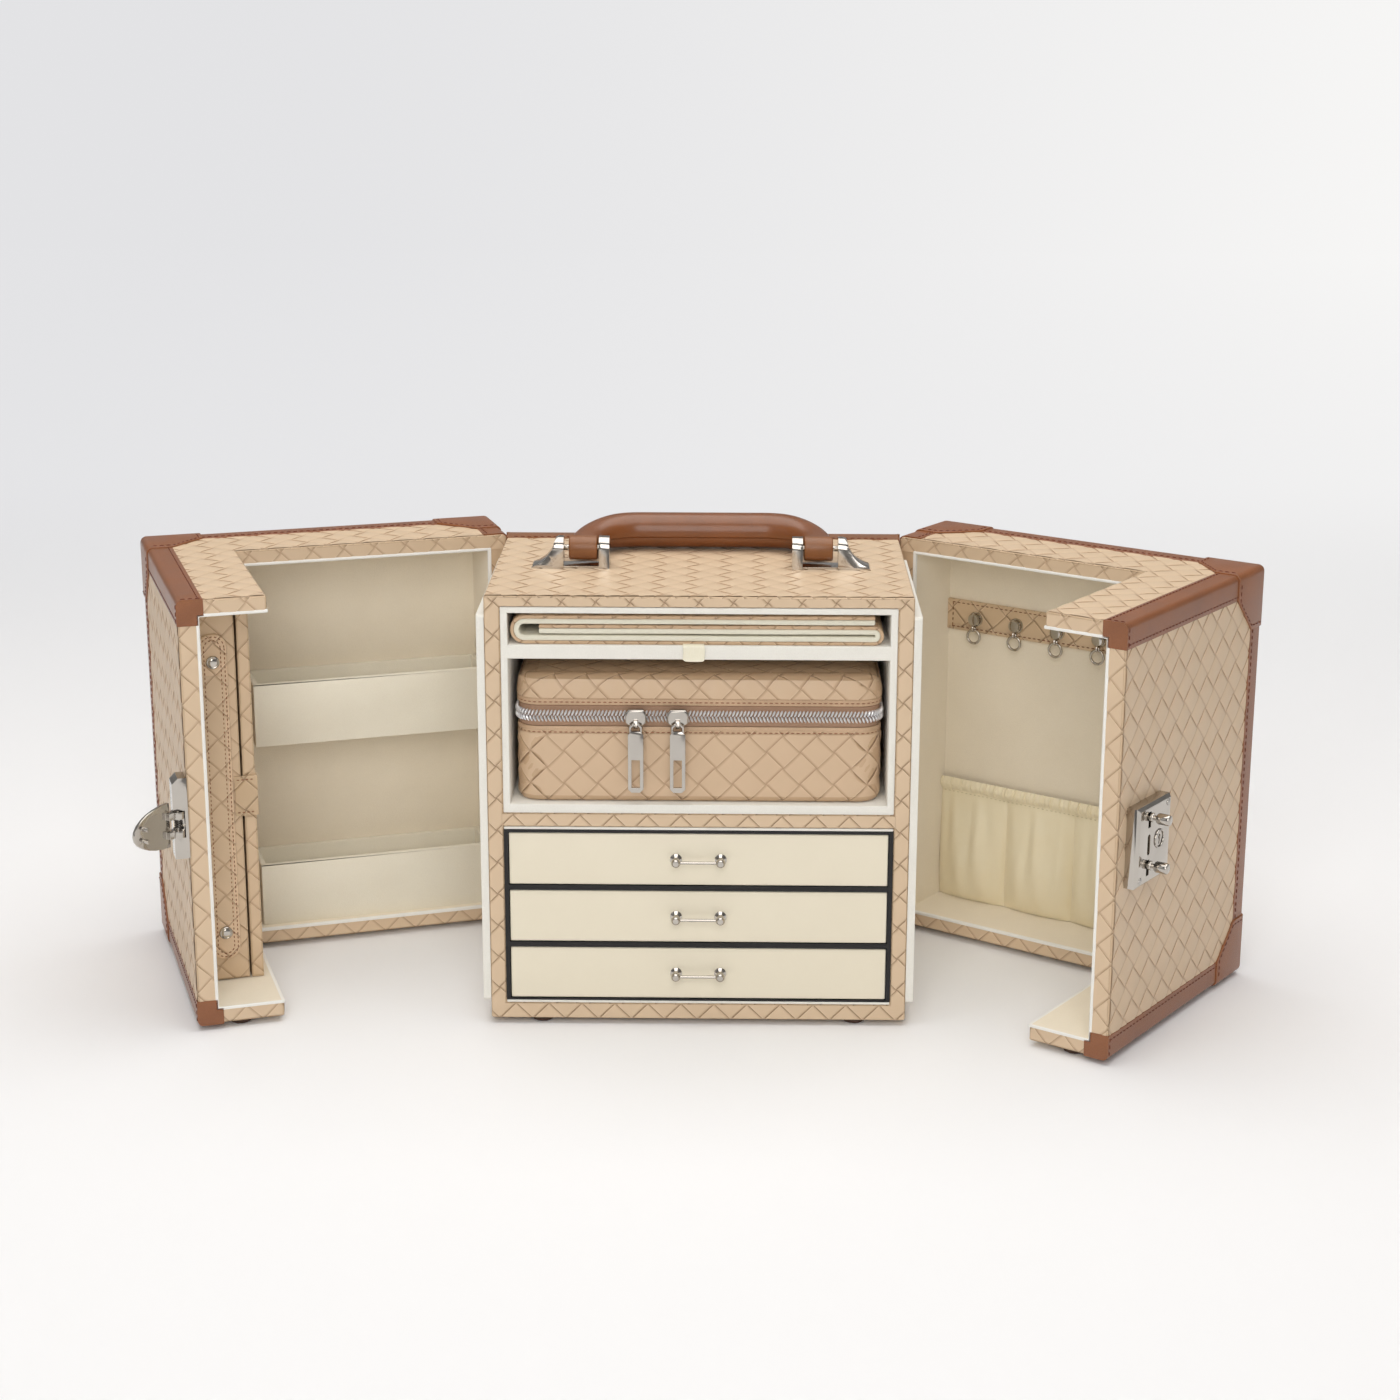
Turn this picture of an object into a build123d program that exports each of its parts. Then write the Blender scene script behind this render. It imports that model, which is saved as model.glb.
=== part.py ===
"""Travel jewellery box: a cabinet with drawers between two wings that swing round to close it.

The cabinet stands in the middle, its open front facing -Y. A wing hinges on each of its rear
edges. Every piece of a wing is drawn as it lies in the closed case, X away from the middle, and
its planes carry it round the hinge to where the wing stands open.
"""
import os
from math import cos, pi, sin, sqrt

from build123d import *

os.makedirs("parts", exist_ok=True)

# Driving dimensions, in millimetres

# The cabinet and its boards
cabinet_width = 220.0
cabinet_depth = 152.0
cabinet_height = 231.0
side_board = 8.3
top_board = 5.7
bottom_board = 9.0
back_board = 7.0
board_round = 1.4
liner_board = 3.7
liner_top = 3.3
upper_shelf_drop = 33.0
upper_shelf_board = 7.3
lower_shelf_share = 0.465
lower_shelf_board = 7.6
lower_shelf_lining = 1.5
shelf_pad = 4.9
bay_floor = 1.6
side_felt = 4.0
side_felt_rear_gap = 16.0
side_felt_end_gap = 10.0
side_felt_round = 2.0

# The drawers, in a thin housing
housing_wall = 2.2
housing_floor = 1.0
drawer_count = 3
drawer_divider = 3.4
housing_roof = 1.95
drawer_gap = 0.35
drawer_front = 4.0
drawer_wall = 2.5
drawer_setback = 0.5
drawer_rear_gap = 5.0
drawer_side_drop = 2.0
drawer_round = 0.6
pull_spacing = 23.4
pull_steps = ((0.0, 1.2, 3.15), (1.2, 4.0, 1.5), (4.0, 8.0, 2.5))
pull_taper = 0.8
pull_bar_radius = 0.8
pull_bar_reach = 5.6

# The handle and its two brackets, folded back on the top
handle_pin_y = -7.0
handle_pin_height = 10.5
handle_pin_radius = 1.5
pin_clearance = 0.08
bracket_inner = 48.6
bracket_ear = 5.6
bracket_gap = 18.8
bracket_ear_foot = 17.6
bracket_depth = 14.0
bracket_plate = 1.6
bracket_ear_radius = 6.4
bracket_crown = ((3.4, 0.7), (5.2, 4.0))
bracket_toe_height = 1.6
bracket_toe_lean = 0.28
loop_width = 15.2
loop_radius = 6.5
loop_tail = 8.0
loop_side_gap = 0.8
grip_reach = 45.0
grip_radius = 9.9
grip_bend = 30.0
grip_end_thickness = 4.0
grip_stations = 12
grip_sides = 14
grip_taper = 0.28

# The wings
wing_side_depth = 51.1
wing_front_depth = 46.7
left_opened = 71.4
right_opened = 55.06
skin = 0.7
wing_sink = 0.6
wing_board = 9.0
lip_board = 7.0
wing_lining = 1.8
lining_edge = 0.6
wing_gap = 0.4
free_edge_gap = 0.3
wing_chamfer = 1.4
trim_width = 13.0
cap_leg = 32.0
hinge_leather = 1.0
hinge_bead_radius = 1.1
hinge_leaf = 13.0
hinge_leaf_gap = 1.5

# The feet
foot_radius = 6.0
foot_height = 3.0
foot_chamfer = 1.0
foot_sides = 12
foot_inset_x = 27.0
foot_inset_y = 8.0
wing_foot_free_inset = 9.5
wing_foot_corner_inset = 32.0

# The two felt trays in the left wing
tray_reach = 33.4
tray_wall = 3.0
tray_round = 0.8
tray_height = 36.3
tray_upper_drop = 115.0
tray_front_end = -70.0

# The folder that stands in the left wing
folder_start = 38.0
folder_width = 110.0
folder_depth = 29.0
folder_head_room = 25.0
folder_cover_board = 6.3
folder_cover_gap = 1.2
folder_wall = 3.0
folder_seat_gap = 0.4
folder_bead_radius = 1.5
strap_width = 15.5
strap_board = 1.8
strap_end_gap = 12.4
strap_rear_gap = 1.6
snap_radius = 3.6
snap_height = 1.6
snap_edge = 0.9
snap_inset = 15.2
tab_height = 22.0
tab_board = 1.0
tab_centre_height = 113.0
tab_reach = 11.0

# The hook strip and the elastic pocket in the right wing
hook_count = 6
hook_spacing = 26.4
hook_first_y = 45.7
hook_strip_drop = 59.4
hook_strip_height = 17.8
hook_strip_board = 1.8
stud_drop = 51.6
stud_radius = 4.3
stud_base = 1.2
stud_dome_radius = 3.7
stud_dome = 3.0
stud_ease = 1.6
eye_drop = 5.9
eye_stand = 2.4
eye_radius = 2.0
eye_hole_radius = 1.1
eye_plate = 1.2
ring_radius = 3.95
ring_wire_radius = 0.75
ring_sides = 16
ring_start = 0.5 / 16
wire_sides = 6
round_sides = 12
pocket_height = 66.0
pocket_band = 7.0
pocket_band_depth = 5.6
pocket_slit = 3.0
pocket_cloth = 1.2
pocket_sections = 4
pocket_folds = 3
pocket_bulge = 13.0
pocket_valley = 0.55
pocket_crest = 0.3
pocket_seam_stand = 2.0
pocket_sewn = 2.2
pocket_full_share = 0.45
pocket_foot_gap = 0.2

# The lock case on the right wing and the hasp on the left one
lock_start = 9.6
lock_width = 36.4
lock_bottom = 91.5
lock_height = 42.5
lock_depth = 7.5
lock_bevel = 1.6
lock_slot_x = 21.5
lock_slot_width = 3.0
lock_slot_depth = 5.0
catch_slot_height = 11.0
knob_slot_height = 8.4
knob_centres = (127.6, 102.0)
knob_slot_shift = -1.6
knob_steps = ((-4.0, 4.2, 1.3), (0.4, 2.4, 2.4), (4.2, 11.5, 2.9))
knob_edge = 0.8
key_hole_radius = 1.3
key_slot = (1.1, 3.6, 2.4)
cylinder_x = 33.3
cylinder_height = 113.0
cylinder_radius = 4.1
cylinder_depth = 4.0
hasp_bottom = 94.0
hasp_height = 43.5
hasp_base_width = 12.0
hasp_base_depth = 7.5
hasp_foot = 1.6
hasp_base_overlap = 2.2
hasp_pin_bite = 3.0
hasp_pin_x = 1.2
hasp_pin_radius = 1.0
hasp_gap_bottom = 105.4
hasp_gap_height = 14.6
hasp_ear = 3.8
hasp_ear_half = 3.2
hasp_plate_board = 1.8
hasp_plate_reach = 29.0
hasp_plate_half_height = 12.0
plate_sides = 14
hasp_catch_reach = 22.7
hasp_catch_spacing = 6.4
hasp_catch_radius = 1.2
hasp_catch_height = 3.4
hasp_opened = 50.0
spring_wire_radius = 0.3
spring_wire_sides = 5
spring_radius = 2.0
spring_turns = 4
spring_pitch = 1.2
hasp_running_gap = 0.3

# The folded mat in the top compartment
mat_skin = 1.2
mat_pad = 3.4
mat_left_room = 1.5
mat_right_room = 3.6
mat_flap_room = 16.0
mat_top_room = 8.0
mat_front_room = 2.0
mat_rear_room = 5.3
mat_seat_gap = 0.3
mat_layer_gap = 0.4
ribbon_width = 11.0
ribbon_thickness = 0.6
ribbon_x = -2.5
ribbon_drop = 7.0
ribbon_bend = 1.2

# The zipped case in the middle compartment
case_side_room = 15.5
case_front_room = 4.5
case_rear_room = 4.8
case_seat_gap = 0.25
case_corner = 12.0
case_wall = 3.0
case_base_share = 0.5224
case_tape_share = 0.1408
case_lid_share = 0.1998
case_foot_chamfer = 1.5
case_tape_sink = 0.6
chain_height = 6.4
chain_proud = 1.6
piping_radius = 1.3
piping_proud = 0.6
slider_places = (-32.5, -10.8)
slider_length = 11.0
slider_height = 8.6
slider_depth = 3.0
slider_round = 1.6
slider_edge = 0.8
slider_gap = 0.3
slider_eye = 2.2
bail_radius = 0.8
bail_drop = 3.0
bail_reach = 1.9
pull_width = 8.0
pull_length = 33.0
pull_board = 2.0
pull_window_width = 4.4
pull_window_length = 15.0
pull_round = 1.8
pull_window_inset = 2.6
pull_drop = 3.4
bail_bend = 1.4
bail_inset = 1.2

# Sizes that follow from the driving dimensions
half_width = cabinet_width / 2
front_y = -cabinet_depth / 2
back_y = cabinet_depth / 2
inner_half = half_width - side_board
inner_back = back_y - back_board
liner_half = inner_half - liner_board
liner_back = inner_back - liner_board
liner_ceiling = cabinet_height - top_board - liner_top
upper_shelf_height = cabinet_height - upper_shelf_drop
lower_shelf_height = round(cabinet_height * lower_shelf_share, 1)
mat_floor = upper_shelf_height + upper_shelf_board
case_floor = lower_shelf_height + lower_shelf_board + shelf_pad
housing_bottom = bottom_board + bay_floor
housing_top = lower_shelf_height - lower_shelf_lining
drawer_base = housing_bottom + housing_floor + drawer_gap
drawer_space = housing_top - housing_roof - drawer_base
drawer_pitch = (drawer_space + drawer_divider) / drawer_count
drawer_height = drawer_pitch - drawer_divider
drawer_half = inner_half - housing_wall - drawer_gap
drawer_front_y = front_y + drawer_setback
drawer_back_y = inner_back - drawer_rear_gap
mat_left = mat_left_room - liner_half
mat_right = liner_half - mat_right_room
mat_flap_end = mat_flap_room - liner_half
mat_top_end = liner_half - mat_top_room
mat_front = front_y + mat_front_room
mat_depth = liner_back - mat_rear_room - mat_front
case_room = upper_shelf_height - case_floor
case_width = cabinet_width - 2 * case_side_room
case_front = front_y + case_front_room
case_depth = liner_back - case_rear_room - case_front
case_base_height = case_room * case_base_share
case_tape_height = case_room * case_tape_share
case_lid_height = case_room * case_lid_share
pin_z = cabinet_height + handle_pin_height
loop_start = bracket_inner + bracket_ear + loop_side_gap
loop_centre = loop_start + loop_width / 2
grip_start_y = handle_pin_y + loop_tail
bar_y = handle_pin_y + grip_reach

hinge_y = back_y + hinge_leather / 2
shell_outer_x = half_width + wing_side_depth - wing_sink
shell_front_y = front_y - wing_front_depth + wing_sink
shell_back_y = back_y - wing_sink
shell_top = cabinet_height - wing_sink
room_outer_x = shell_outer_x - wing_board - wing_lining
room_front_y = shell_front_y + wing_board + wing_lining
room_back_y = shell_back_y - wing_board - wing_lining
room_floor = wing_sink + lip_board + wing_lining
room_ceiling = shell_top - lip_board - wing_lining
tray_upper_height = cabinet_height - tray_upper_drop
folder_height = cabinet_height - folder_head_room
strap_length = folder_height - 2 * strap_end_gap
hook_strip_bottom = cabinet_height - hook_strip_drop
stud_height = cabinet_height - stud_drop


class Wing:
    """One wing: which side it hinges on, and how far it stands open about its rear hinge."""

    def __init__(self, side, opened):
        self.side = side
        hinge = Location((side * half_width, hinge_y, 0))
        turn = Location((0, 0, 0), (0, 0, side * opened))
        self.swing = hinge * turn * hinge.inverse()
        self.frame = self.place(Plane.XY)

    def place(self, plane):
        """The given plane of the closed case, carried round the hinge."""
        return Plane(self.swing * plane.location)


left = Wing(-1, left_opened)
right = Wing(1, right_opened)


def save(builder, name):
    """Label a finished piece and write it as its own file."""
    builder.part.label = name
    export_step(builder.part, f"parts/{name}.step")


def middle(span):
    """The middle of a pair of limits."""
    return (span[0] + span[1]) / 2


def length(span):
    """The distance between a pair of limits."""
    return span[1] - span[0]


def slab(x_span, y_span, z_span, side=1, mode=Mode.ADD):
    """A board between two limits along each axis of the part's plane, mirrored on the left."""
    with Locations((side * middle(x_span), middle(y_span), middle(z_span))):
        Box(length(x_span), length(y_span), length(z_span), mode=mode)


# Cabinet shell: five covered boards, open at the front, with softly rounded leather edges
with BuildPart() as cabinet_shell:
    with BuildSketch():
        Rectangle(cabinet_width, cabinet_depth)
    extrude(amount=cabinet_height)
    with BuildSketch(Plane.XZ.offset(-front_y)):
        with Locations((0, (bottom_board + cabinet_height - top_board) / 2)):
            Rectangle(2 * inner_half, cabinet_height - top_board - bottom_board)
    extrude(amount=-(cabinet_depth - back_board), mode=Mode.SUBTRACT)
    fillet(cabinet_shell.edges().group_by(Axis.Y)[0], board_round)
save(cabinet_shell, "cabinet_shell")

# Compartment liner: a felt-covered insert with the mat's slot over the case's compartment, and
# the two felt strips that line the drawers' bay above and below their housing
with BuildPart() as compartment_liner:
    liner_foot = lower_shelf_height + lower_shelf_board
    liner_head = cabinet_height - top_board
    slab((-inner_half, inner_half), (front_y, inner_back), (liner_foot, liner_head))
    slab((-liner_half, liner_half), (front_y, liner_back), (case_floor, upper_shelf_height),
         mode=Mode.SUBTRACT)
    slab((-liner_half, liner_half), (front_y, liner_back), (mat_floor, liner_ceiling),
         mode=Mode.SUBTRACT)
    slab((-inner_half, inner_half), (front_y, inner_back), (bottom_board, housing_bottom))
    slab((-inner_half, inner_half), (front_y, inner_back), (housing_top, lower_shelf_height))
save(compartment_liner, "compartment_liner")

# Lower shelf: a covered board over the drawers, its front edge rounded like the shell's
with BuildPart() as lower_shelf:
    shelf_span = (lower_shelf_height, lower_shelf_height + lower_shelf_board)
    slab((-inner_half, inner_half), (front_y, inner_back), shelf_span)
    shelf_front = lower_shelf.faces().sort_by(Axis.Y)[0]
    fillet(shelf_front.edges().filter_by(Axis.X), board_round)
save(lower_shelf, "lower_shelf")

# Drawer housing: a thin black case with one bay for each drawer
with BuildPart() as drawer_housing:
    slab((-inner_half, inner_half), (front_y, inner_back), (housing_bottom, housing_top))
    for number in range(drawer_count):
        bay_bottom = drawer_base - drawer_gap + number * drawer_pitch
        bay = (bay_bottom, bay_bottom + drawer_height + 2 * drawer_gap)
        slab((-drawer_half - drawer_gap, drawer_half + drawer_gap),
             (front_y, inner_back - housing_wall), bay, mode=Mode.SUBTRACT)
save(drawer_housing, "drawer_housing")

# Side felts: a soft board on each side of the cabinet, which the closed wings lie round
with BuildPart() as side_felts:
    felt_depth = (front_y + wing_gap, back_y - side_felt_rear_gap)
    felt_height = (side_felt_end_gap, cabinet_height - side_felt_end_gap)
    for side in (-1, 1):
        slab((half_width, half_width + side_felt), felt_depth, felt_height, side)
    fillet(side_felts.edges().filter_by(Axis.X), side_felt_round)
save(side_felts, "side_felts")

# Rear leather: a binding over the top rear edge and the cabinet's half of both hinges
with BuildPart() as rear_leather:
    with BuildSketch(Plane.YZ.offset(-half_width)):
        with BuildLine():
            Polyline((back_y - trim_width, cabinet_height),
                     (back_y, cabinet_height),
                     (back_y, cabinet_height - trim_width),
                     (back_y + hinge_leather, cabinet_height - trim_width),
                     (back_y + hinge_leather, cabinet_height + skin),
                     (back_y - trim_width, cabinet_height + skin), close=True)
        make_face()
    extrude(amount=cabinet_width)
    for side in (-1, 1):
        slab((half_width - hinge_leaf, half_width), (back_y, back_y + hinge_leather),
             (0, cabinet_height), side)
        with Locations((side * half_width, hinge_y, (cabinet_height + skin) / 2)):
            Cylinder(hinge_bead_radius, cabinet_height + skin)
    slab((-half_width, half_width), (front_y, back_y), (0, cabinet_height), mode=Mode.SUBTRACT)
save(rear_leather, "rear_leather")

# Cabinet feet: four low bumpers under the corners
with BuildPart() as cabinet_feet:
    with BuildSketch(Plane.XY.offset(-foot_height)):
        with GridLocations(cabinet_width - 2 * foot_inset_x, cabinet_depth - 2 * foot_inset_y, 2, 2):
            RegularPolygon(foot_radius, foot_sides)
    extrude(amount=foot_height)
    chamfer(cabinet_feet.edges().group_by(Axis.Z)[0], foot_chamfer)
save(cabinet_feet, "cabinet_feet")


def handle_bracket(side):
    """A cast bracket: two rounded ears on a thin plate, the outer ear swept down into a foot."""
    inner_ear = bracket_inner + bracket_ear
    outer_ear = inner_ear + bracket_gap
    toe = outer_ear + bracket_ear_foot
    top = pin_z + bracket_ear_radius
    with BuildPart() as bracket:
        for ear_span in ((bracket_inner, inner_ear), (outer_ear, toe)):
            with BuildSketch(Plane.YZ.offset(side * ear_span[0])):
                with BuildLine():
                    foot = bracket_depth / 2
                    arch = CenterArc((handle_pin_y, pin_z), bracket_ear_radius, 0, 180)
                    Line(arch @ 0, (handle_pin_y + foot, cabinet_height))
                    Line((handle_pin_y + foot, cabinet_height), (handle_pin_y - foot, cabinet_height))
                    Line((handle_pin_y - foot, cabinet_height), arch @ 1)
                make_face()
            extrude(amount=side * length(ear_span))
        with BuildSketch(Plane.XZ.offset(-handle_pin_y + bracket_depth)):
            with BuildLine():
                bend, shoulder = [(side * (outer_ear + out), top - down) for out, down in bracket_crown]
                crown = ThreePointArc((side * outer_ear, top), bend, shoulder)
                sweep_down = TangentArc(crown @ 1, (side * (toe - 1), cabinet_height + bracket_toe_height),
                                        tangent=(side * bracket_toe_lean, -1))
                Polyline(sweep_down @ 1, (side * toe, cabinet_height),
                         (side * bracket_inner, cabinet_height),
                         (side * bracket_inner, top), crown @ 0)
            make_face()
        extrude(amount=-2 * bracket_depth, mode=Mode.INTERSECT)
        slab((bracket_inner, outer_ear + 1.0),
             (handle_pin_y - bracket_depth / 2 + 1, handle_pin_y + bracket_depth / 2 - 1),
             (cabinet_height, cabinet_height + bracket_plate), side)
    return bracket


handle_bracket_left = handle_bracket(-1)
save(handle_bracket_left, "handle_bracket_left")
handle_bracket_right = handle_bracket(1)
save(handle_bracket_right, "handle_bracket_right")

# Handle pins: one riveted between the ears of each bracket
with BuildPart() as handle_pins:
    for side in (-1, 1):
        with BuildSketch(Plane.YZ.offset(side * (bracket_inner + bracket_ear))):
            with Locations((handle_pin_y, pin_z)):
                Circle(handle_pin_radius)
        extrude(amount=side * bracket_gap)
save(handle_pins, "handle_pins")

# Handle loops: leather barrels round the pins, with a tail that carries the grip
with BuildPart() as handle_loops:
    for side in (-1, 1):
        with BuildSketch(Plane.YZ.offset(side * loop_start)):
            with Locations((handle_pin_y, pin_z)):
                Circle(loop_radius)
            with Locations((handle_pin_y + loop_tail / 2, pin_z)):
                Rectangle(loop_tail, 2 * grip_end_thickness)
            with Locations((handle_pin_y, pin_z)):
                Circle(handle_pin_radius + pin_clearance, mode=Mode.SUBTRACT)
        extrude(amount=side * loop_width)
save(handle_loops, "handle_loops")

# Handle grip: a stuffed roll on a bowed path, flat where it meets its loops and round between
with BuildPart() as handle_grip:
    with BuildLine(Plane.XY.offset(pin_z)) as grip_path:
        FilletPolyline((-loop_centre, grip_start_y), (-loop_centre, bar_y),
                       (loop_centre, bar_y), (loop_centre, grip_start_y), radius=grip_bend)
    grip_wire = grip_path.wires()[0]
    for station in range(grip_stations + 1):
        place = station / grip_stations
        rise = min(1, min(place, 1 - place) / grip_taper)
        swell = rise * rise * (3 - 2 * rise)
        half_thick = grip_end_thickness + (grip_radius - grip_end_thickness) * swell
        half_wide = loop_width / 2 + (grip_radius - loop_width / 2) * swell
        turns = [2 * pi * (corner + 0.5) / grip_sides for corner in range(grip_sides)]
        with BuildSketch(Plane(grip_wire @ place, x_dir=(0, 0, 1), z_dir=grip_wire % place)):
            Polygon([(half_thick * cos(turn), half_wide * sin(turn)) for turn in turns], align=None)
    loft(ruled=True)
save(handle_grip, "handle_grip")


def drawer(base):
    """A shallow box with a taller, thicker front."""
    back_top = base + drawer_height - drawer_side_drop
    with BuildPart() as box:
        with BuildSketch(Plane.XY.offset(base)):
            with Locations((0, (drawer_front_y + drawer_back_y) / 2)):
                Rectangle(2 * drawer_half, drawer_back_y - drawer_front_y)
        extrude(amount=back_top - base)
        inside_y = (drawer_front_y + drawer_front, drawer_back_y - drawer_wall)
        slab((drawer_wall - drawer_half, drawer_half - drawer_wall), inside_y,
             (base + drawer_wall, back_top), mode=Mode.SUBTRACT)
        slab((-drawer_half, drawer_half), (drawer_front_y, drawer_front_y + drawer_front),
             (base, base + drawer_height))
        fillet(box.edges().group_by(Axis.Y)[0], drawer_round)
    return box


def drawer_pull(base):
    """Two posts, each a flange, a neck and a head, with a thin bar between the heads."""
    centre = base + drawer_height / 2
    with BuildPart() as pull:
        for start, end, radius in pull_steps:
            with BuildSketch(Plane.XZ.offset(-drawer_front_y + start)):
                with Locations((-pull_spacing / 2, centre), (pull_spacing / 2, centre)):
                    RegularPolygon(radius, round_sides)
            extrude(amount=end - start)
        chamfer(pull.edges().group_by(Axis.Y)[0], pull_taper)
        with BuildSketch(Plane.YZ.offset(-pull_spacing / 2)):
            with Locations((drawer_front_y - pull_bar_reach, centre)):
                RegularPolygon(pull_bar_radius, wire_sides)
        extrude(amount=pull_spacing)
    return pull


drawers = []
drawer_pulls = []
for number in range(drawer_count):
    drawer_bottom = drawer_base + (drawer_count - 1 - number) * drawer_pitch
    drawers.append(drawer(drawer_bottom))
    save(drawers[number], f"drawer_{number + 1}")
    drawer_pulls.append(drawer_pull(drawer_bottom))
    save(drawer_pulls[number], f"drawer_pull_{number + 1}")

# Folded mat: a letter fold seen from the front, a woven skin outside and a padded lining inside
mat_bottom_z = mat_floor + mat_seat_gap + mat_skin / 2
pad_offset = (mat_skin + mat_pad) / 2
pad_bottom_z = mat_bottom_z + pad_offset
pad_middle_z = pad_bottom_z + mat_pad + mat_layer_gap
mat_middle_z = pad_middle_z + pad_offset
mat_top_z = mat_middle_z + mat_skin / 2 + mat_layer_gap + mat_pad + mat_skin / 2
pad_top_z = mat_top_z - pad_offset
mat_left_turn = mat_left + mat_skin / 2 + (mat_top_z - mat_bottom_z) / 2
mat_right_turn = mat_right - mat_skin / 2 - (mat_middle_z - mat_bottom_z) / 2


def letter_fold(top_z, bottom_z, middle_z):
    """The line of one layer: over the top, round the left fold, back, and in at the right fold."""
    left_radius = (top_z - bottom_z) / 2
    right_radius = (middle_z - bottom_z) / 2
    Line((mat_top_end, top_z), (mat_left_turn, top_z))
    ThreePointArc((mat_left_turn, top_z), (mat_left_turn - left_radius, (top_z + bottom_z) / 2),
                  (mat_left_turn, bottom_z))
    Line((mat_left_turn, bottom_z), (mat_right_turn, bottom_z))
    ThreePointArc((mat_right_turn, bottom_z),
                  (mat_right_turn + right_radius, (middle_z + bottom_z) / 2),
                  (mat_right_turn, middle_z))
    Line((mat_right_turn, middle_z), (mat_flap_end, middle_z))


with BuildPart() as mat_cover:
    with BuildSketch(Plane.XZ.offset(-mat_front)):
        with BuildLine():
            letter_fold(mat_top_z, mat_bottom_z, mat_middle_z)
        trace(line_width=mat_skin)
    extrude(amount=-mat_depth)
save(mat_cover, "mat_cover")

with BuildPart() as mat_lining:
    with BuildSketch(Plane.XZ.offset(-mat_front)):
        with BuildLine():
            letter_fold(pad_top_z, pad_bottom_z, pad_middle_z)
        trace(line_width=mat_pad)
    extrude(amount=-mat_depth)
    ribbon_y = front_y - mat_seat_gap - ribbon_thickness
    with BuildSketch(Plane.YZ.offset(ribbon_x - ribbon_width / 2)):
        with BuildLine():
            FilletPolyline((mat_front, pad_bottom_z), (ribbon_y + ribbon_thickness / 2, pad_bottom_z),
                           (ribbon_y + ribbon_thickness / 2, pad_bottom_z - ribbon_drop),
                           radius=ribbon_bend)
        trace(line_width=ribbon_thickness)
    extrude(amount=ribbon_width)
save(mat_lining, "mat_lining")

# Zipped case: a hollow base and lid with the zip between them, its corners rounded in plan
case_bottom = case_floor + case_seat_gap
tape_bottom = case_bottom + case_base_height
lid_bottom = tape_bottom + case_tape_height
case_top = lid_bottom + case_lid_height
case_centre_y = case_front + case_depth / 2
chain_bottom = tape_bottom + (case_tape_height - chain_height) / 2 + 0.2


def case_plan(inset):
    """The case's rounded outline, drawn in by an inset."""
    with Locations((0, case_centre_y)):
        RectangleRounded(case_width - 2 * inset, case_depth - 2 * inset, case_corner - inset)


with BuildPart() as case_base:
    with BuildSketch(Plane.XY.offset(case_bottom)):
        case_plan(0)
    extrude(amount=case_base_height)
    chamfer(case_base.edges().group_by(Axis.Z)[0], case_foot_chamfer)
    with BuildSketch(Plane.XY.offset(case_bottom + case_wall)):
        case_plan(case_wall)
    extrude(amount=case_base_height, mode=Mode.SUBTRACT)
save(case_base, "case_base")

with BuildPart() as case_lid:
    with BuildSketch(Plane.XY.offset(case_top - 2 * piping_radius)):
        case_plan(-piping_proud)
    extrude(amount=2 * piping_radius)
    chamfer(case_lid.edges().group_by(Axis.Z)[0] + case_lid.edges().group_by(Axis.Z)[-1],
            piping_radius * (2 - sqrt(2)))
    with BuildSketch(Plane.XY.offset(lid_bottom)):
        case_plan(0)
    extrude(amount=case_lid_height - 2 * piping_radius + 0.3)
    with BuildSketch(Plane.XY.offset(lid_bottom)):
        case_plan(case_wall)
    extrude(amount=case_lid_height - case_wall, mode=Mode.SUBTRACT)
save(case_lid, "case_lid")

with BuildPart() as case_zip_tapes:
    with BuildSketch(Plane.XY.offset(tape_bottom)):
        case_plan(case_tape_sink)
        with Locations((0, case_centre_y)):
            RectangleRounded(case_width - 2 * case_wall, case_depth - 2 * case_wall,
                             case_corner - case_wall, mode=Mode.SUBTRACT)
    extrude(amount=case_tape_height)
save(case_zip_tapes, "case_zip_tapes")

# Zip chain: a band round the front and the sides, which stops short of the hinged back
with BuildPart() as case_zip_chain:
    with BuildSketch(Plane.XY.offset(chain_bottom)):
        case_plan(case_tape_sink - chain_proud)
        with Locations((0, case_centre_y)):
            RectangleRounded(case_width - 2 * case_tape_sink, case_depth - 2 * case_tape_sink,
                             case_corner - case_tape_sink, mode=Mode.SUBTRACT)
        with Locations((0, case_front + case_depth)):
            Rectangle(case_width + case_corner, 4 * case_corner, mode=Mode.SUBTRACT)
    extrude(amount=chain_height)
save(case_zip_chain, "case_zip_chain")

chain_y = case_front + case_tape_sink - chain_proud
chain_z = chain_bottom + chain_height / 2
slider_y = chain_y - slider_gap
bail_z = chain_z - bail_drop
bail_y = slider_y - slider_depth - bail_reach


def zip_slider(place):
    """A slider body with a waisted face and an eye below it for the pull's bail."""
    with BuildPart() as slider:
        with BuildSketch(Plane.XZ.offset(-slider_y)):
            with Locations((place, chain_z)):
                face = Rectangle(slider_length, slider_height)
            chamfer(face.vertices(), slider_round)
        extrude(amount=slider_depth)
        chamfer(slider.edges().group_by(Axis.Y)[0], slider_edge)
        with BuildSketch(Plane.YZ.offset(place - slider_eye / 2)):
            eye_root_y = slider_y - slider_depth + slider_edge
            with BuildLine():
                Polyline((eye_root_y, bail_z + slider_eye), (bail_y, bail_z + slider_eye),
                         (bail_y - slider_eye, bail_z), (bail_y, bail_z - slider_eye),
                         (eye_root_y, bail_z - slider_eye), close=True)
            make_face()
            with Locations((bail_y, bail_z)):
                Circle(bail_radius + slider_gap, mode=Mode.SUBTRACT)
        extrude(amount=slider_eye)
    return slider


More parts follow.
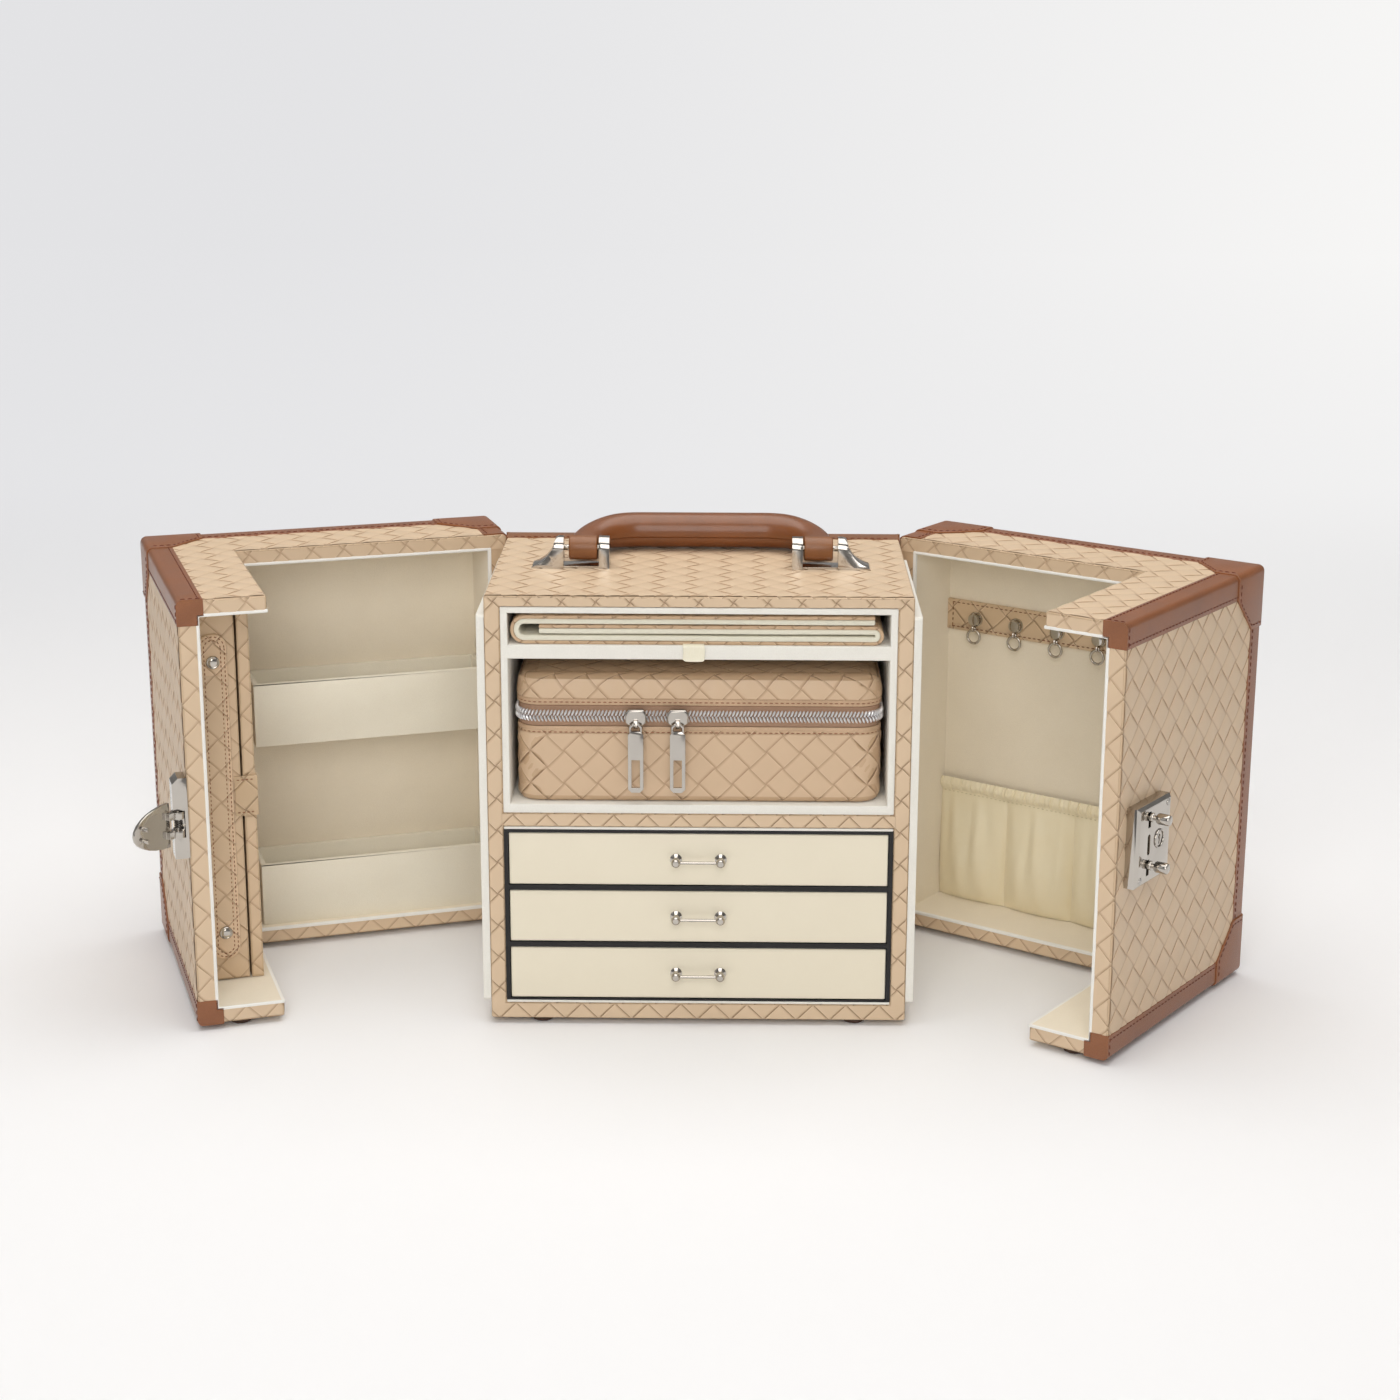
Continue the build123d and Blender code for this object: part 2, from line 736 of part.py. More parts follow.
def zip_pull(place):
    """A flat pull with a window, hung by a wire bail through the slider's eye."""
    top = bail_z - pull_drop
    with BuildPart() as pull:
        with BuildSketch(Plane.XZ.offset(-bail_y - pull_board / 2)):
            with Locations((place, top - pull_length / 2)):
                pull_face = Rectangle(pull_width, pull_length)
            chamfer(pull_face.vertices(), pull_round)
            with Locations((place, top - pull_length + pull_window_length / 2 + pull_window_inset)):
                Rectangle(pull_window_width, pull_window_length, mode=Mode.SUBTRACT)
        extrude(amount=pull_board)
        with BuildLine() as bail_line:
            half = pull_width / 2 - bail_inset
            root = top - pull_board
            Polyline((place - half, bail_y, root), (place - half, bail_y, bail_z - bail_bend),
                     (place - half + bail_bend, bail_y, bail_z),
                     (place + half - bail_bend, bail_y, bail_z),
                     (place + half, bail_y, bail_z - bail_bend), (place + half, bail_y, root))
        with BuildSketch(Plane(bail_line.wires()[0] @ 0, z_dir=bail_line.wires()[0] % 0)):
            RegularPolygon(bail_radius, wire_sides)
        sweep(path=bail_line.wires()[0], transition=Transition.RIGHT)
    return pull


zip_sliders = [zip_slider(place) for place in slider_places]
zip_pulls = [zip_pull(place) for place in slider_places]
for zip_side, slider, pull in zip(("left", "right"), zip_sliders, zip_pulls):
    save(slider, f"zip_slider_{zip_side}")
    save(pull, f"zip_pull_{zip_side}")


def envelope(wing, grown):
    """A closed wing's outside as an L-shaped block with eased edges, its outer faces moved out."""
    side = wing.side
    outer_x = shell_outer_x + grown
    front = shell_front_y - grown
    back = shell_back_y + grown
    inner_x = half_width + wing_gap + lining_edge
    inner_y = front_y - wing_gap - lining_edge
    free_x = free_edge_gap + lining_edge
    eased = wing_chamfer + grown * (2 - sqrt(2))
    with BuildPart(mode=Mode.PRIVATE) as block:
        with BuildSketch(Plane.XY.offset(wing_sink - grown)) as plan:
            with BuildLine():
                Polyline((side * free_x, front), (side * outer_x, front), (side * outer_x, back),
                         (side * inner_x, back), (side * inner_x, inner_y),
                         (side * free_x, inner_y), close=True)
            make_face()
            chamfer(plan.vertices().group_by(Axis.X)[-1 if side > 0 else 0], eased)
        extrude(amount=shell_top - wing_sink + 2 * grown)
        ends = block.faces().filter_by(Plane.XY)
        rims = [edge for edge in ends.edges()
                if side * edge.center().X > inner_x + 1 or edge.center().Y < inner_y - 1]
        rims = [edge for edge in rims if side * edge.center().X > free_x + 1]
        chamfer(rims, eased)
    return block.part


def wing_shell(wing):
    """Covered boards: the side and front panels, the rear wall and the two lips."""
    with BuildPart(wing.frame) as shell:
        add(envelope(wing, 0))
        slab((-trim_width, shell_outer_x - wing_board),
             (shell_front_y + wing_board, shell_back_y - wing_board),
             (wing_sink + lip_board, shell_top - lip_board), wing.side, Mode.SUBTRACT)
    return shell


def wing_lining_part(wing):
    """Felt over every inner face, its edge standing past the woven boards as a pale line."""
    side = wing.side
    outer_x = shell_outer_x - wing_board
    front = shell_front_y + wing_board
    back = shell_back_y - wing_board
    inner_x = half_width + wing_gap
    inner_y = front_y - wing_gap
    with BuildPart(wing.frame) as lining:
        with BuildSketch(wing.place(Plane.XY.offset(wing_sink + lip_board))):
            with BuildLine():
                Polyline((side * free_edge_gap, front), (side * outer_x, front),
                         (side * outer_x, back), (side * inner_x, back),
                         (side * inner_x, inner_y), (side * free_edge_gap, inner_y), close=True)
            make_face()
        extrude(amount=shell_top - wing_sink - 2 * lip_board)
        slab((-trim_width, room_outer_x), (room_front_y, room_back_y), (room_floor, room_ceiling),
             side, Mode.SUBTRACT)
    return lining


def wing_trim(wing):
    """Leather binding along every outer edge, with the wing's half of the hinge."""
    side = wing.side
    outer_x = shell_outer_x + skin
    front = shell_front_y - skin
    back = shell_back_y + skin
    leaf_start = half_width + hinge_leaf_gap
    band_heights = (wing_sink + trim_width, shell_top - trim_width)
    beyond = 10.0
    with BuildPart(wing.frame) as trim:
        add(envelope(wing, skin))
        add(envelope(wing, 0), mode=Mode.SUBTRACT)
        slab((-beyond, outer_x - trim_width), (front - beyond, front + beyond), band_heights,
             side, Mode.SUBTRACT)
        slab((outer_x - beyond, outer_x + beyond), (front + trim_width, back - trim_width),
             band_heights, side, Mode.SUBTRACT)
        slab((leaf_start + hinge_leaf, outer_x - trim_width), (back - beyond, back + beyond),
             band_heights, side, Mode.SUBTRACT)
        slab((-beyond, outer_x - trim_width), (front + trim_width, back - trim_width),
             (-beyond, cabinet_height + beyond), side, Mode.SUBTRACT)
        slab((half_width - beyond, leaf_start), (back - trim_width - beyond, back + beyond),
             (-beyond, cabinet_height + beyond), side, Mode.SUBTRACT)
    return trim


def wing_corners(wing):
    """Folded leather caps over the outer corners, each cut off square to its corner's diagonal."""
    side = wing.side
    outer_x = shell_outer_x + 2 * skin
    with BuildPart(wing.frame) as caps:
        for y, y_way in ((shell_front_y - 2 * skin, 1), (shell_back_y + 2 * skin, -1)):
            for z, z_way in ((wing_sink - 2 * skin, 1), (shell_top + 2 * skin, -1)):
                with BuildPart(mode=Mode.PRIVATE) as zone:
                    x_span = (outer_x - cap_leg, outer_x + 1)
                    y_span = sorted((y - y_way, y + y_way * cap_leg))
                    z_span = sorted((z - z_way, z + z_way * cap_leg))
                    slab(x_span, y_span, z_span, side)
                    cut_reach = (cap_leg + trim_width) / 3
                    cut_point = (side * (outer_x - cut_reach), y + y_way * cut_reach,
                                 z + z_way * cut_reach)
                    cut = Plane(origin=cut_point, z_dir=(-side, y_way, z_way))
                    split(bisect_by=cut, keep=Keep.BOTTOM)
                add(zone.part)
        add(envelope(wing, 2 * skin), mode=Mode.INTERSECT)
        add(envelope(wing, skin), mode=Mode.SUBTRACT)
    return caps


def wing_feet(wing):
    """Low bumpers under the free edge, the outer corner and the rear corner."""
    lip_y = (shell_front_y + front_y) / 2
    lip_x = (shell_outer_x + half_width) / 2
    spots = ((wing_foot_free_inset, lip_y), (shell_outer_x - wing_foot_corner_inset, lip_y),
             (lip_x, shell_back_y - wing_foot_corner_inset))
    with BuildPart() as feet:
        with BuildSketch(wing.place(Plane.XY.offset(-foot_height))):
            with Locations([(wing.side * x, y) for x, y in spots]):
                RegularPolygon(foot_radius, foot_sides)
        extrude(amount=foot_height + wing_sink)
        chamfer(feet.edges().group_by(Axis.Z)[0], foot_chamfer)
    return feet


for wing, wing_name in ((left, "left_wing"), (right, "right_wing")):
    save(wing_shell(wing), f"{wing_name}_shell")
    save(wing_lining_part(wing), f"{wing_name}_lining")
    save(wing_trim(wing), f"{wing_name}_trim")
    save(wing_corners(wing), f"{wing_name}_corners")
    save(wing_feet(wing), f"{wing_name}_feet")


def felt_tray(bottom):
    """An open felt trough along the left wing's side panel."""
    x_span = (room_outer_x - tray_reach, room_outer_x)
    y_span = (tray_front_end, room_back_y)
    with BuildPart(left.frame) as tray:
        slab(x_span, y_span, (bottom, bottom + tray_height), left.side)
        slab((x_span[0] + tray_wall, x_span[1] - tray_wall),
             (y_span[0] + tray_wall, y_span[1] - tray_wall),
             (bottom + tray_wall, bottom + tray_height), left.side, Mode.SUBTRACT)
        fillet(tray.edges().group_by(Axis.Z)[-1], tray_round)
    return tray


tray_upper = felt_tray(tray_upper_height)
save(tray_upper, "tray_upper")
tray_lower = felt_tray(room_floor)
save(tray_lower, "tray_lower")

# Folder: a shallow tray with a hinged cover, standing against the left wing's front panel
folder_floor = room_floor + folder_seat_gap
folder_rear_y = room_front_y + folder_seat_gap
folder_face_y = folder_rear_y + folder_depth
folder_tray_y = folder_face_y - folder_cover_board - folder_cover_gap
folder_spine_x = folder_start + folder_width - folder_bead_radius
folder_spine_y = folder_tray_y + folder_cover_gap / 2
tray_far_x = folder_spine_x - folder_bead_radius - hasp_running_gap
folder_span_z = (folder_floor, folder_floor + folder_height)

with BuildPart(left.frame) as folder_tray:
    slab((folder_start, tray_far_x), (folder_rear_y, folder_tray_y), folder_span_z, left.side)
    slab((folder_start + folder_wall, tray_far_x - folder_wall),
         (folder_rear_y + folder_wall, folder_tray_y),
         (folder_span_z[0] + folder_wall, folder_span_z[1] - folder_wall), left.side, Mode.SUBTRACT)
save(folder_tray, "folder_tray")

tab_span_z = (folder_floor + tab_centre_height - tab_height / 2 - room_floor,
              folder_floor + tab_centre_height + tab_height / 2 - room_floor)
with BuildPart(left.frame) as folder_cover:
    slab((folder_start, folder_spine_x), (folder_face_y - folder_cover_board, folder_face_y),
         folder_span_z, left.side)
    with Locations((left.side * folder_spine_x, folder_spine_y, middle(folder_span_z))):
        Cylinder(folder_bead_radius, folder_height)
    slab((folder_start - hasp_running_gap - tab_board, folder_start + 6),
         (folder_face_y, folder_face_y + tab_board), tab_span_z, left.side)
    slab((folder_start - hasp_running_gap - tab_board, folder_start - hasp_running_gap),
         (folder_face_y - tab_reach, folder_face_y + tab_board), tab_span_z, left.side)
save(folder_cover, "folder_cover")

strap_y = folder_rear_y + strap_width / 2 + strap_rear_gap
strap_centre_z = folder_floor + strap_end_gap + strap_length / 2
with BuildPart() as folder_strap:
    with BuildSketch(left.place(Plane.YZ.offset(left.side * (folder_start - strap_board)))):
        with Locations((strap_y, strap_centre_z)):
            SlotOverall(strap_length, strap_width, rotation=90)
    extrude(amount=left.side * strap_board)
save(folder_strap, "folder_strap")

snap_reach = strap_length / 2 - snap_inset
with BuildPart() as folder_snaps:
    with BuildSketch(left.place(Plane.YZ.offset(left.side * (folder_start - strap_board)))):
        with Locations((strap_y, strap_centre_z - snap_reach), (strap_y, strap_centre_z + snap_reach)):
            RegularPolygon(snap_radius, foot_sides)
    extrude(amount=-left.side * snap_height)
    snap_axis = Axis((0, 0, 0), left.frame.x_dir)
    chamfer(folder_snaps.faces().sort_by(snap_axis)[-2:].edges(), snap_edge)
save(folder_snaps, "folder_snaps")

# Hook strip: a woven strap along the right wing's side panel
strip_face = room_outer_x - hook_strip_board
with BuildPart(right.frame) as hook_strip:
    slab((strip_face, room_outer_x), (room_front_y, room_back_y),
         (hook_strip_bottom, hook_strip_bottom + hook_strip_height))
save(hook_strip, "hook_strip")

hook_places = [hook_first_y - number * hook_spacing for number in range(hook_count)]
eye_x = strip_face - eye_stand
eye_z = stud_height - eye_drop

# Hook studs: domed rivets, each with a drilled lug below it
with BuildPart() as hook_studs:
    for place in hook_places:
        stud_plane = right.place(Plane(origin=(strip_face, place, stud_height),
                                       x_dir=(0, 1, 0), z_dir=(-1, 0, 0)))
        with BuildSketch(stud_plane):
            RegularPolygon(stud_radius, round_sides)
        extrude(amount=stud_base)
        with BuildSketch(stud_plane.offset(stud_base)):
            RegularPolygon(stud_dome_radius, round_sides)
        extrude(amount=stud_dome)
        dome_axis = Axis(stud_plane.origin, stud_plane.z_dir)
        dome_top = hook_studs.faces(Select.LAST).filter_by(dome_axis).sort_by(dome_axis)[-1]
        chamfer(dome_top.edges(), stud_ease)
        lug_plane = right.place(Plane(origin=(0, place - eye_plate / 2, 0),
                                      x_dir=(1, 0, 0), z_dir=(0, -1, 0)))
        with BuildSketch(lug_plane):
            with Locations((eye_x, eye_z)):
                Circle(eye_radius)
            with Locations(((eye_x + strip_face) / 2, eye_z)):
                Rectangle(strip_face - eye_x, 2 * eye_radius)
            with Locations((eye_x, eye_z)):
                RegularPolygon(eye_hole_radius, round_sides, mode=Mode.SUBTRACT)
        extrude(amount=-eye_plate)
save(hook_studs, "hook_studs")

# Hook rings: wire rings hung through the lugs
for number, place in enumerate(hook_places, 1):
    with BuildPart() as hook_ring:
        ring_plane = right.place(Plane(origin=(eye_x, place, eye_z - ring_radius),
                                       x_dir=(0, 1, 0), z_dir=(1, 0, 0)))
        with BuildLine(ring_plane) as ring_line:
            turns = [2 * pi * (corner + 0.5) / ring_sides for corner in range(ring_sides)]
            Polyline([(ring_radius * cos(turn), ring_radius * sin(turn)) for turn in turns], close=True)
        ring_wire = ring_line.wires()[0]
        with BuildSketch(Plane(ring_wire @ ring_start, x_dir=ring_plane.z_dir,
                               z_dir=ring_wire % ring_start)):
            RegularPolygon(ring_wire_radius, wire_sides)
        sweep(path=ring_wire, transition=Transition.RIGHT)
    save(hook_ring, f"hook_ring_{number}")

# Elastic pocket: gathered cloth in sewn sections under a straight band, with a slit to each
pocket_top = room_floor + pocket_foot_gap + pocket_height + pocket_band
pocket_length = room_back_y - room_front_y
section_length = pocket_length / pocket_sections
fold_length = section_length / pocket_folds


def pocket_front():
    """The pocket's pleated front in plan, drawn in at every seam and less at every fold."""
    front_x = room_outer_x - pocket_seam_stand
    points = []
    for fold in range(pocket_sections * pocket_folds + 1):
        on_seam = fold % pocket_folds == 0
        points.append((front_x if on_seam else front_x - pocket_bulge * pocket_valley,
                       room_front_y + fold * fold_length))
    front = points[:1]
    for start, end in zip(points, points[1:]):
        for share in (0.25, 0.75):
            at = start[1] + share * fold_length
            along = start[0] + share * (end[0] - start[0])
            front.append((along - pocket_bulge * pocket_crest, at))
        front.append(end)
    Polyline(*front, (room_outer_x, room_back_y), (room_outer_x, room_front_y), close=True)


with BuildPart(right.frame) as elastic_pocket:
    pocket_foot = room_floor + pocket_foot_gap
    pocket_waist = pocket_foot + pocket_height * pocket_full_share
    with BuildSketch(right.place(Plane.XY.offset(pocket_foot))):
        with BuildLine():
            pocket_front()
        make_face()
    extrude(amount=pocket_height)
    with BuildSketch(right.place(Plane.XZ.offset(-room_front_y))):
        with BuildLine():
            full_x = room_outer_x - pocket_seam_stand - pocket_bulge
            Polyline((full_x, pocket_waist), (full_x, pocket_top),
                     (room_outer_x - pocket_band_depth, pocket_top),
                     (room_outer_x - pocket_band_depth, pocket_foot + pocket_height), close=True)
        make_face()
    extrude(amount=-pocket_length, mode=Mode.SUBTRACT)
    slab((room_outer_x - pocket_band_depth, room_outer_x), (room_front_y, room_back_y),
         (pocket_top - pocket_band, pocket_top))
    for number in range(pocket_sections):
        slit_start = room_front_y + number * section_length + pocket_sewn
        slit = (slit_start, slit_start + section_length - 2 * pocket_sewn)
        slab((room_outer_x - pocket_cloth - pocket_slit, room_outer_x - pocket_cloth), slit,
             (pocket_foot + 3, pocket_top), mode=Mode.SUBTRACT)
save(elastic_pocket, "elastic_pocket")

# Lock case on the right wing: a bevelled block with a catch slot, knob slots and a key barrel
lock_face_y = shell_front_y - lock_depth
lock_plane = right.place(Plane.XZ.offset(-shell_front_y))
lock_face = right.place(Plane.XZ.offset(-lock_face_y))
lock_middle = (lock_start + lock_width / 2, lock_bottom + lock_height / 2)
hasp_middle_z = hasp_gap_bottom + hasp_gap_height / 2
with BuildPart() as lock_plate:
    with BuildSketch(lock_plane):
        with Locations(lock_middle):
            Rectangle(lock_width, lock_height)
    extrude(amount=lock_depth)
    lock_axis = Axis((0, 0, 0), lock_plane.z_dir)
    chamfer(lock_plate.faces().sort_by(lock_axis)[-1].edges(), lock_bevel)
    with BuildSketch(lock_face):
        with Locations((lock_slot_x, hasp_middle_z)):
            SlotOverall(catch_slot_height, lock_slot_width, rotation=90)
        with Locations([(lock_slot_x, height + knob_slot_shift) for height in knob_centres]):
            Rectangle(lock_slot_width, knob_slot_height)
    extrude(amount=-lock_slot_depth, mode=Mode.SUBTRACT)
    with BuildSketch(lock_face):
        with Locations((cylinder_x, cylinder_height)):
            Circle(cylinder_radius + pin_clearance)
    extrude(amount=-cylinder_depth, mode=Mode.SUBTRACT)
save(lock_plate, "lock_plate")


def lock_knob(height):
    """A knob on a collared stem that runs in its slot."""
    with BuildPart() as knob:
        for start, end, radius in knob_steps:
            with BuildSketch(right.place(Plane.XZ.offset(-lock_face_y + start))):
                with Locations((lock_slot_x, height)):
                    RegularPolygon(radius, round_sides)
            extrude(amount=end - start)
        tip = knob.faces().sort_by(Axis((0, 0, 0), lock_plane.z_dir))[-1]
        chamfer(tip.edges(), knob_edge)
    return knob


lock_knob_upper = lock_knob(knob_centres[0])
save(lock_knob_upper, "lock_knob_upper")
lock_knob_lower = lock_knob(knob_centres[1])
save(lock_knob_lower, "lock_knob_lower")

# Key barrel: a round plug with a key slot, flush in the lock's face
with BuildPart() as lock_cylinder:
    with BuildSketch(lock_face):
        with Locations((cylinder_x, cylinder_height)):
            Circle(cylinder_radius)
    extrude(amount=-cylinder_depth)
    with BuildSketch(lock_face):
        with Locations((cylinder_x, cylinder_height + key_slot[0])):
            RegularPolygon(key_hole_radius, round_sides)
        with Locations((cylinder_x, cylinder_height - key_slot[0])):
            Rectangle(key_slot[0], key_slot[1])
    extrude(amount=-key_slot[2], mode=Mode.SUBTRACT)
save(lock_cylinder, "lock_cylinder")

# Hasp base on the left wing: a bevelled block, its middle cut back for the hasp's knuckles
hasp_face_y = shell_front_y - hasp_base_depth
hasp_pin_y = shell_front_y - hasp_foot - hasp_running_gap - hasp_ear_half
hasp_gap = (hasp_gap_bottom, hasp_gap_bottom + hasp_gap_height)
hasp_plane = left.place(Plane.XZ.offset(-shell_front_y))
with BuildPart(left.frame) as hasp_base:
    hasp_base_start = hasp_pin_x - hasp_ear_half + hasp_base_overlap
    with BuildSketch(hasp_plane):
        with Locations((left.side * (hasp_base_start + hasp_base_width / 2),
                        hasp_bottom + hasp_height / 2)):
            Rectangle(hasp_base_width, hasp_height)
    extrude(amount=hasp_base_depth)
    hasp_axis = Axis((0, 0, 0), hasp_plane.z_dir)
    hasp_front = hasp_base.faces().sort_by(hasp_axis)[-1]
    chamfer(hasp_front.edges().sort_by(Axis.Z)[-1], hasp_pin_bite)
    slab((-hasp_base_width, hasp_pin_x + hasp_ear_half + hasp_running_gap),
         (hasp_face_y - 1, shell_front_y - hasp_foot), hasp_gap, left.side, Mode.SUBTRACT)
    with BuildSketch(left.place(Plane.XY.offset(hasp_gap[0] - hasp_pin_bite))):
        with Locations((left.side * hasp_pin_x, hasp_pin_y)):
            Circle(hasp_pin_radius)
    extrude(amount=hasp_gap_height + 2 * hasp_pin_bite)
save(hasp_base, "hasp_base")


def biarc(start, start_way, end, end_way):
    """Two tangent arcs from one point and heading to another, meeting half way."""
    chord = end - start
    both = start_way + end_way
    sharp = 2 * (1 - start_way.dot(end_way))
    reach = chord.dot(both)
    step = (sqrt(reach * reach + sharp * chord.dot(chord)) - reach) / sharp
    meeting = (start + end + (start_way - end_way) * step) * 0.5
    first = TangentArc(start, meeting, tangent=start_way)
    TangentArc(meeting, end, tangent=first % 1)


# Hasp spring: a small coil on the pin between the knuckles, which flips the hasp open
spring_height = spring_pitch * spring_turns
spring_bottom = middle(hasp_gap) - spring_height / 2
spring_origin = (left.side * hasp_pin_x, hasp_pin_y, spring_bottom)
spring_plane = left.place(Plane(origin=spring_origin))


def coil_point(turn):
    """A point of the spring's centre line after some turns."""
    angle = 2 * pi * turn
    spot = Vector(spring_radius * cos(angle), spring_radius * sin(angle), spring_pitch * turn)
    return spring_plane.from_local_coords(spot)


def coil_heading(turn):
    """The spring's direction at that point."""
    angle = 2 * pi * turn
    slope = spring_pitch / (2 * pi)
    way = Vector(-spring_radius * sin(angle), spring_radius * cos(angle), slope)
    return (spring_plane.from_local_coords(way) - spring_plane.origin).normalized()


with BuildPart() as hasp_spring:
    with BuildLine() as coil:
        for half_turn in range(2 * spring_turns):
            turns = (half_turn / 2, (half_turn + 1) / 2)
            biarc(coil_point(turns[0]), coil_heading(turns[0]),
                  coil_point(turns[1]), coil_heading(turns[1]))
    coil_wire = coil.wires()[0]
    with BuildSketch(Plane(coil_wire @ 0, z_dir=coil_wire % 0)):
        RegularPolygon(spring_wire_radius, spring_wire_sides)
    sweep(path=coil_wire)
save(hasp_spring, "hasp_spring")

samples = [(step / 48, coil_point(step / 48)) for step in range(48 * spring_turns + 1)]
apart = [(one - other).length for at, one in samples for later, other in samples if later - at > 0.5]
print("least gap in the hasp spring:", round(min(apart) - 2 * spring_wire_radius, 2))

# Hasp plate: a D-shaped plate on two knuckles, with two domed catches for the lock's slot
hasp_pin_place = (left.side * hasp_pin_x, hasp_pin_y, 0)
hasp_closed = Plane(origin=hasp_pin_place, x_dir=(-left.side, 0, 0), z_dir=(0, 0, 1))
hasp_frame = left.place(hasp_closed.rotated((0, 0, -hasp_opened)))
hasp_plate_face = hasp_pin_y - (shell_front_y - lock_depth) + hasp_running_gap


def hasp_place(plane):
    """The given plane of the hasp's own frame, its X out along the plate."""
    return Plane(hasp_frame.location * plane.location)


with BuildPart() as hasp_plate:
    for ear_bottom in (hasp_gap[0] + hasp_running_gap, hasp_gap[1] - hasp_running_gap - hasp_ear):
        with BuildSketch(hasp_place(Plane.XY.offset(ear_bottom))):
            Circle(hasp_ear_half)
            with Locations((hasp_ear_half, -(hasp_plate_face + hasp_plate_board) / 2)):
                Rectangle(2 * hasp_ear_half, hasp_plate_face + hasp_plate_board)
            Circle(hasp_pin_radius + pin_clearance, mode=Mode.SUBTRACT)
        extrude(amount=hasp_ear)
    plate_start = hasp_ear_half + hasp_running_gap
    plate_length = hasp_plate_reach - plate_start
    plate_turns = [pi * corner / plate_sides for corner in range(plate_sides + 1)]
    with BuildSketch(hasp_place(Plane.XZ.offset(hasp_plate_face))):
        with BuildLine():
            Polyline([(plate_start + plate_length * sin(turn),
                       hasp_middle_z + hasp_plate_half_height * cos(turn))
                      for turn in plate_turns], close=True)
        make_face()
    extrude(amount=hasp_plate_board)
    with BuildSketch(hasp_place(Plane.XZ.offset(hasp_plate_face))):
        with Locations((hasp_catch_reach, hasp_middle_z - hasp_catch_spacing / 2),
                       (hasp_catch_reach, hasp_middle_z + hasp_catch_spacing / 2)):
            RegularPolygon(hasp_catch_radius, round_sides)
    extrude(amount=-hasp_catch_height)
save(hasp_plate, "hasp_plate")
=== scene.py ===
from math import atan2, ceil, cos, floor, hypot, pi, radians, sin, sqrt

import bmesh
import bpy
import numpy as np
from mathutils import Matrix, Vector


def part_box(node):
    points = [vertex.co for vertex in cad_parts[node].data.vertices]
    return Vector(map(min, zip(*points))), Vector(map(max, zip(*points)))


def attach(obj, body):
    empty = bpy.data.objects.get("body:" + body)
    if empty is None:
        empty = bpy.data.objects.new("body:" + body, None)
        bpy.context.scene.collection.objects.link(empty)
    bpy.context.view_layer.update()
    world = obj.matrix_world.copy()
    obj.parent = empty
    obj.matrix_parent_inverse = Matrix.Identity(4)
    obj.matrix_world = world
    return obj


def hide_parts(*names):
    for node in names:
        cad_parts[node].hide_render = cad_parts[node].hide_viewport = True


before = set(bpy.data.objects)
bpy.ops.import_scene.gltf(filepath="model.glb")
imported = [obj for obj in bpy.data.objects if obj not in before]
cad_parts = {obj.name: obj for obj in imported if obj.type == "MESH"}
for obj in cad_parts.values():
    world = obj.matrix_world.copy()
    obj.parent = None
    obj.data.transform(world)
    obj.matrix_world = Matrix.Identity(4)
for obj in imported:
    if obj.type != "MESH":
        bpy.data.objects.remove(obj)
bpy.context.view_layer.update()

# The camera
# A lens of about 67 mm stands 1.36 m in front of the box and half a metre up, looking a little
# down and almost square to the cabinet's front.
view_camera = bpy.data.objects.new("view_camera", bpy.data.cameras.new("view_camera"))
bpy.context.scene.collection.objects.link(view_camera)
view_camera.data.sensor_width = 36
view_camera.data.lens = 66.755
camera_yaw = radians(-0.793)
camera_dip = radians(15.663)
camera_roll = radians(0.136)
ahead = Vector((sin(camera_yaw) * cos(camera_dip), cos(camera_yaw) * cos(camera_dip),
                -sin(camera_dip)))
level = Vector((cos(camera_yaw), -sin(camera_yaw), 0))
over = level.cross(ahead)
camera_right = cos(camera_roll) * level + sin(camera_roll) * over
camera_up = cos(camera_roll) * over - sin(camera_roll) * level
camera_turn = Matrix((camera_right, camera_up, -ahead)).transposed().to_4x4()
view_camera.matrix_world = Matrix.Translation((0.018444, -1.361294, 0.537076)) @ camera_turn
bpy.context.scene.camera = view_camera
bpy.context.scene.view_settings.view_transform = "Standard"


# The studio
# The box stands on a sweep of pale paper that curves up behind it, under one wide soft lamp
# overhead and two softer ones in front, with a pale room all round.
def rgb(red, green, blue):
    """A colour as it is read off a screen, from 0 to 255, in the shader's own numbers."""
    shares = [value / 255 for value in (red, green, blue)]
    return tuple(share / 12.92 if share <= 0.04045 else ((share + 0.055) / 1.055) ** 2.4
                 for share in shares) + (1.0,)


class Wire:
    """A value in a finish, which Python's operators turn into the next value."""

    def __init__(self, finish, socket):
        self.finish = finish
        self.socket = socket

    def __add__(self, other):
        return self.finish.maths("ADD", self, other)

    def __sub__(self, other):
        return self.finish.maths("SUBTRACT", self, other)

    def __mul__(self, other):
        return self.finish.maths("MULTIPLY", self, other)

    def __rsub__(self, other):
        return self.finish.maths("SUBTRACT", other, self)

    __radd__ = __add__
    __rmul__ = __mul__


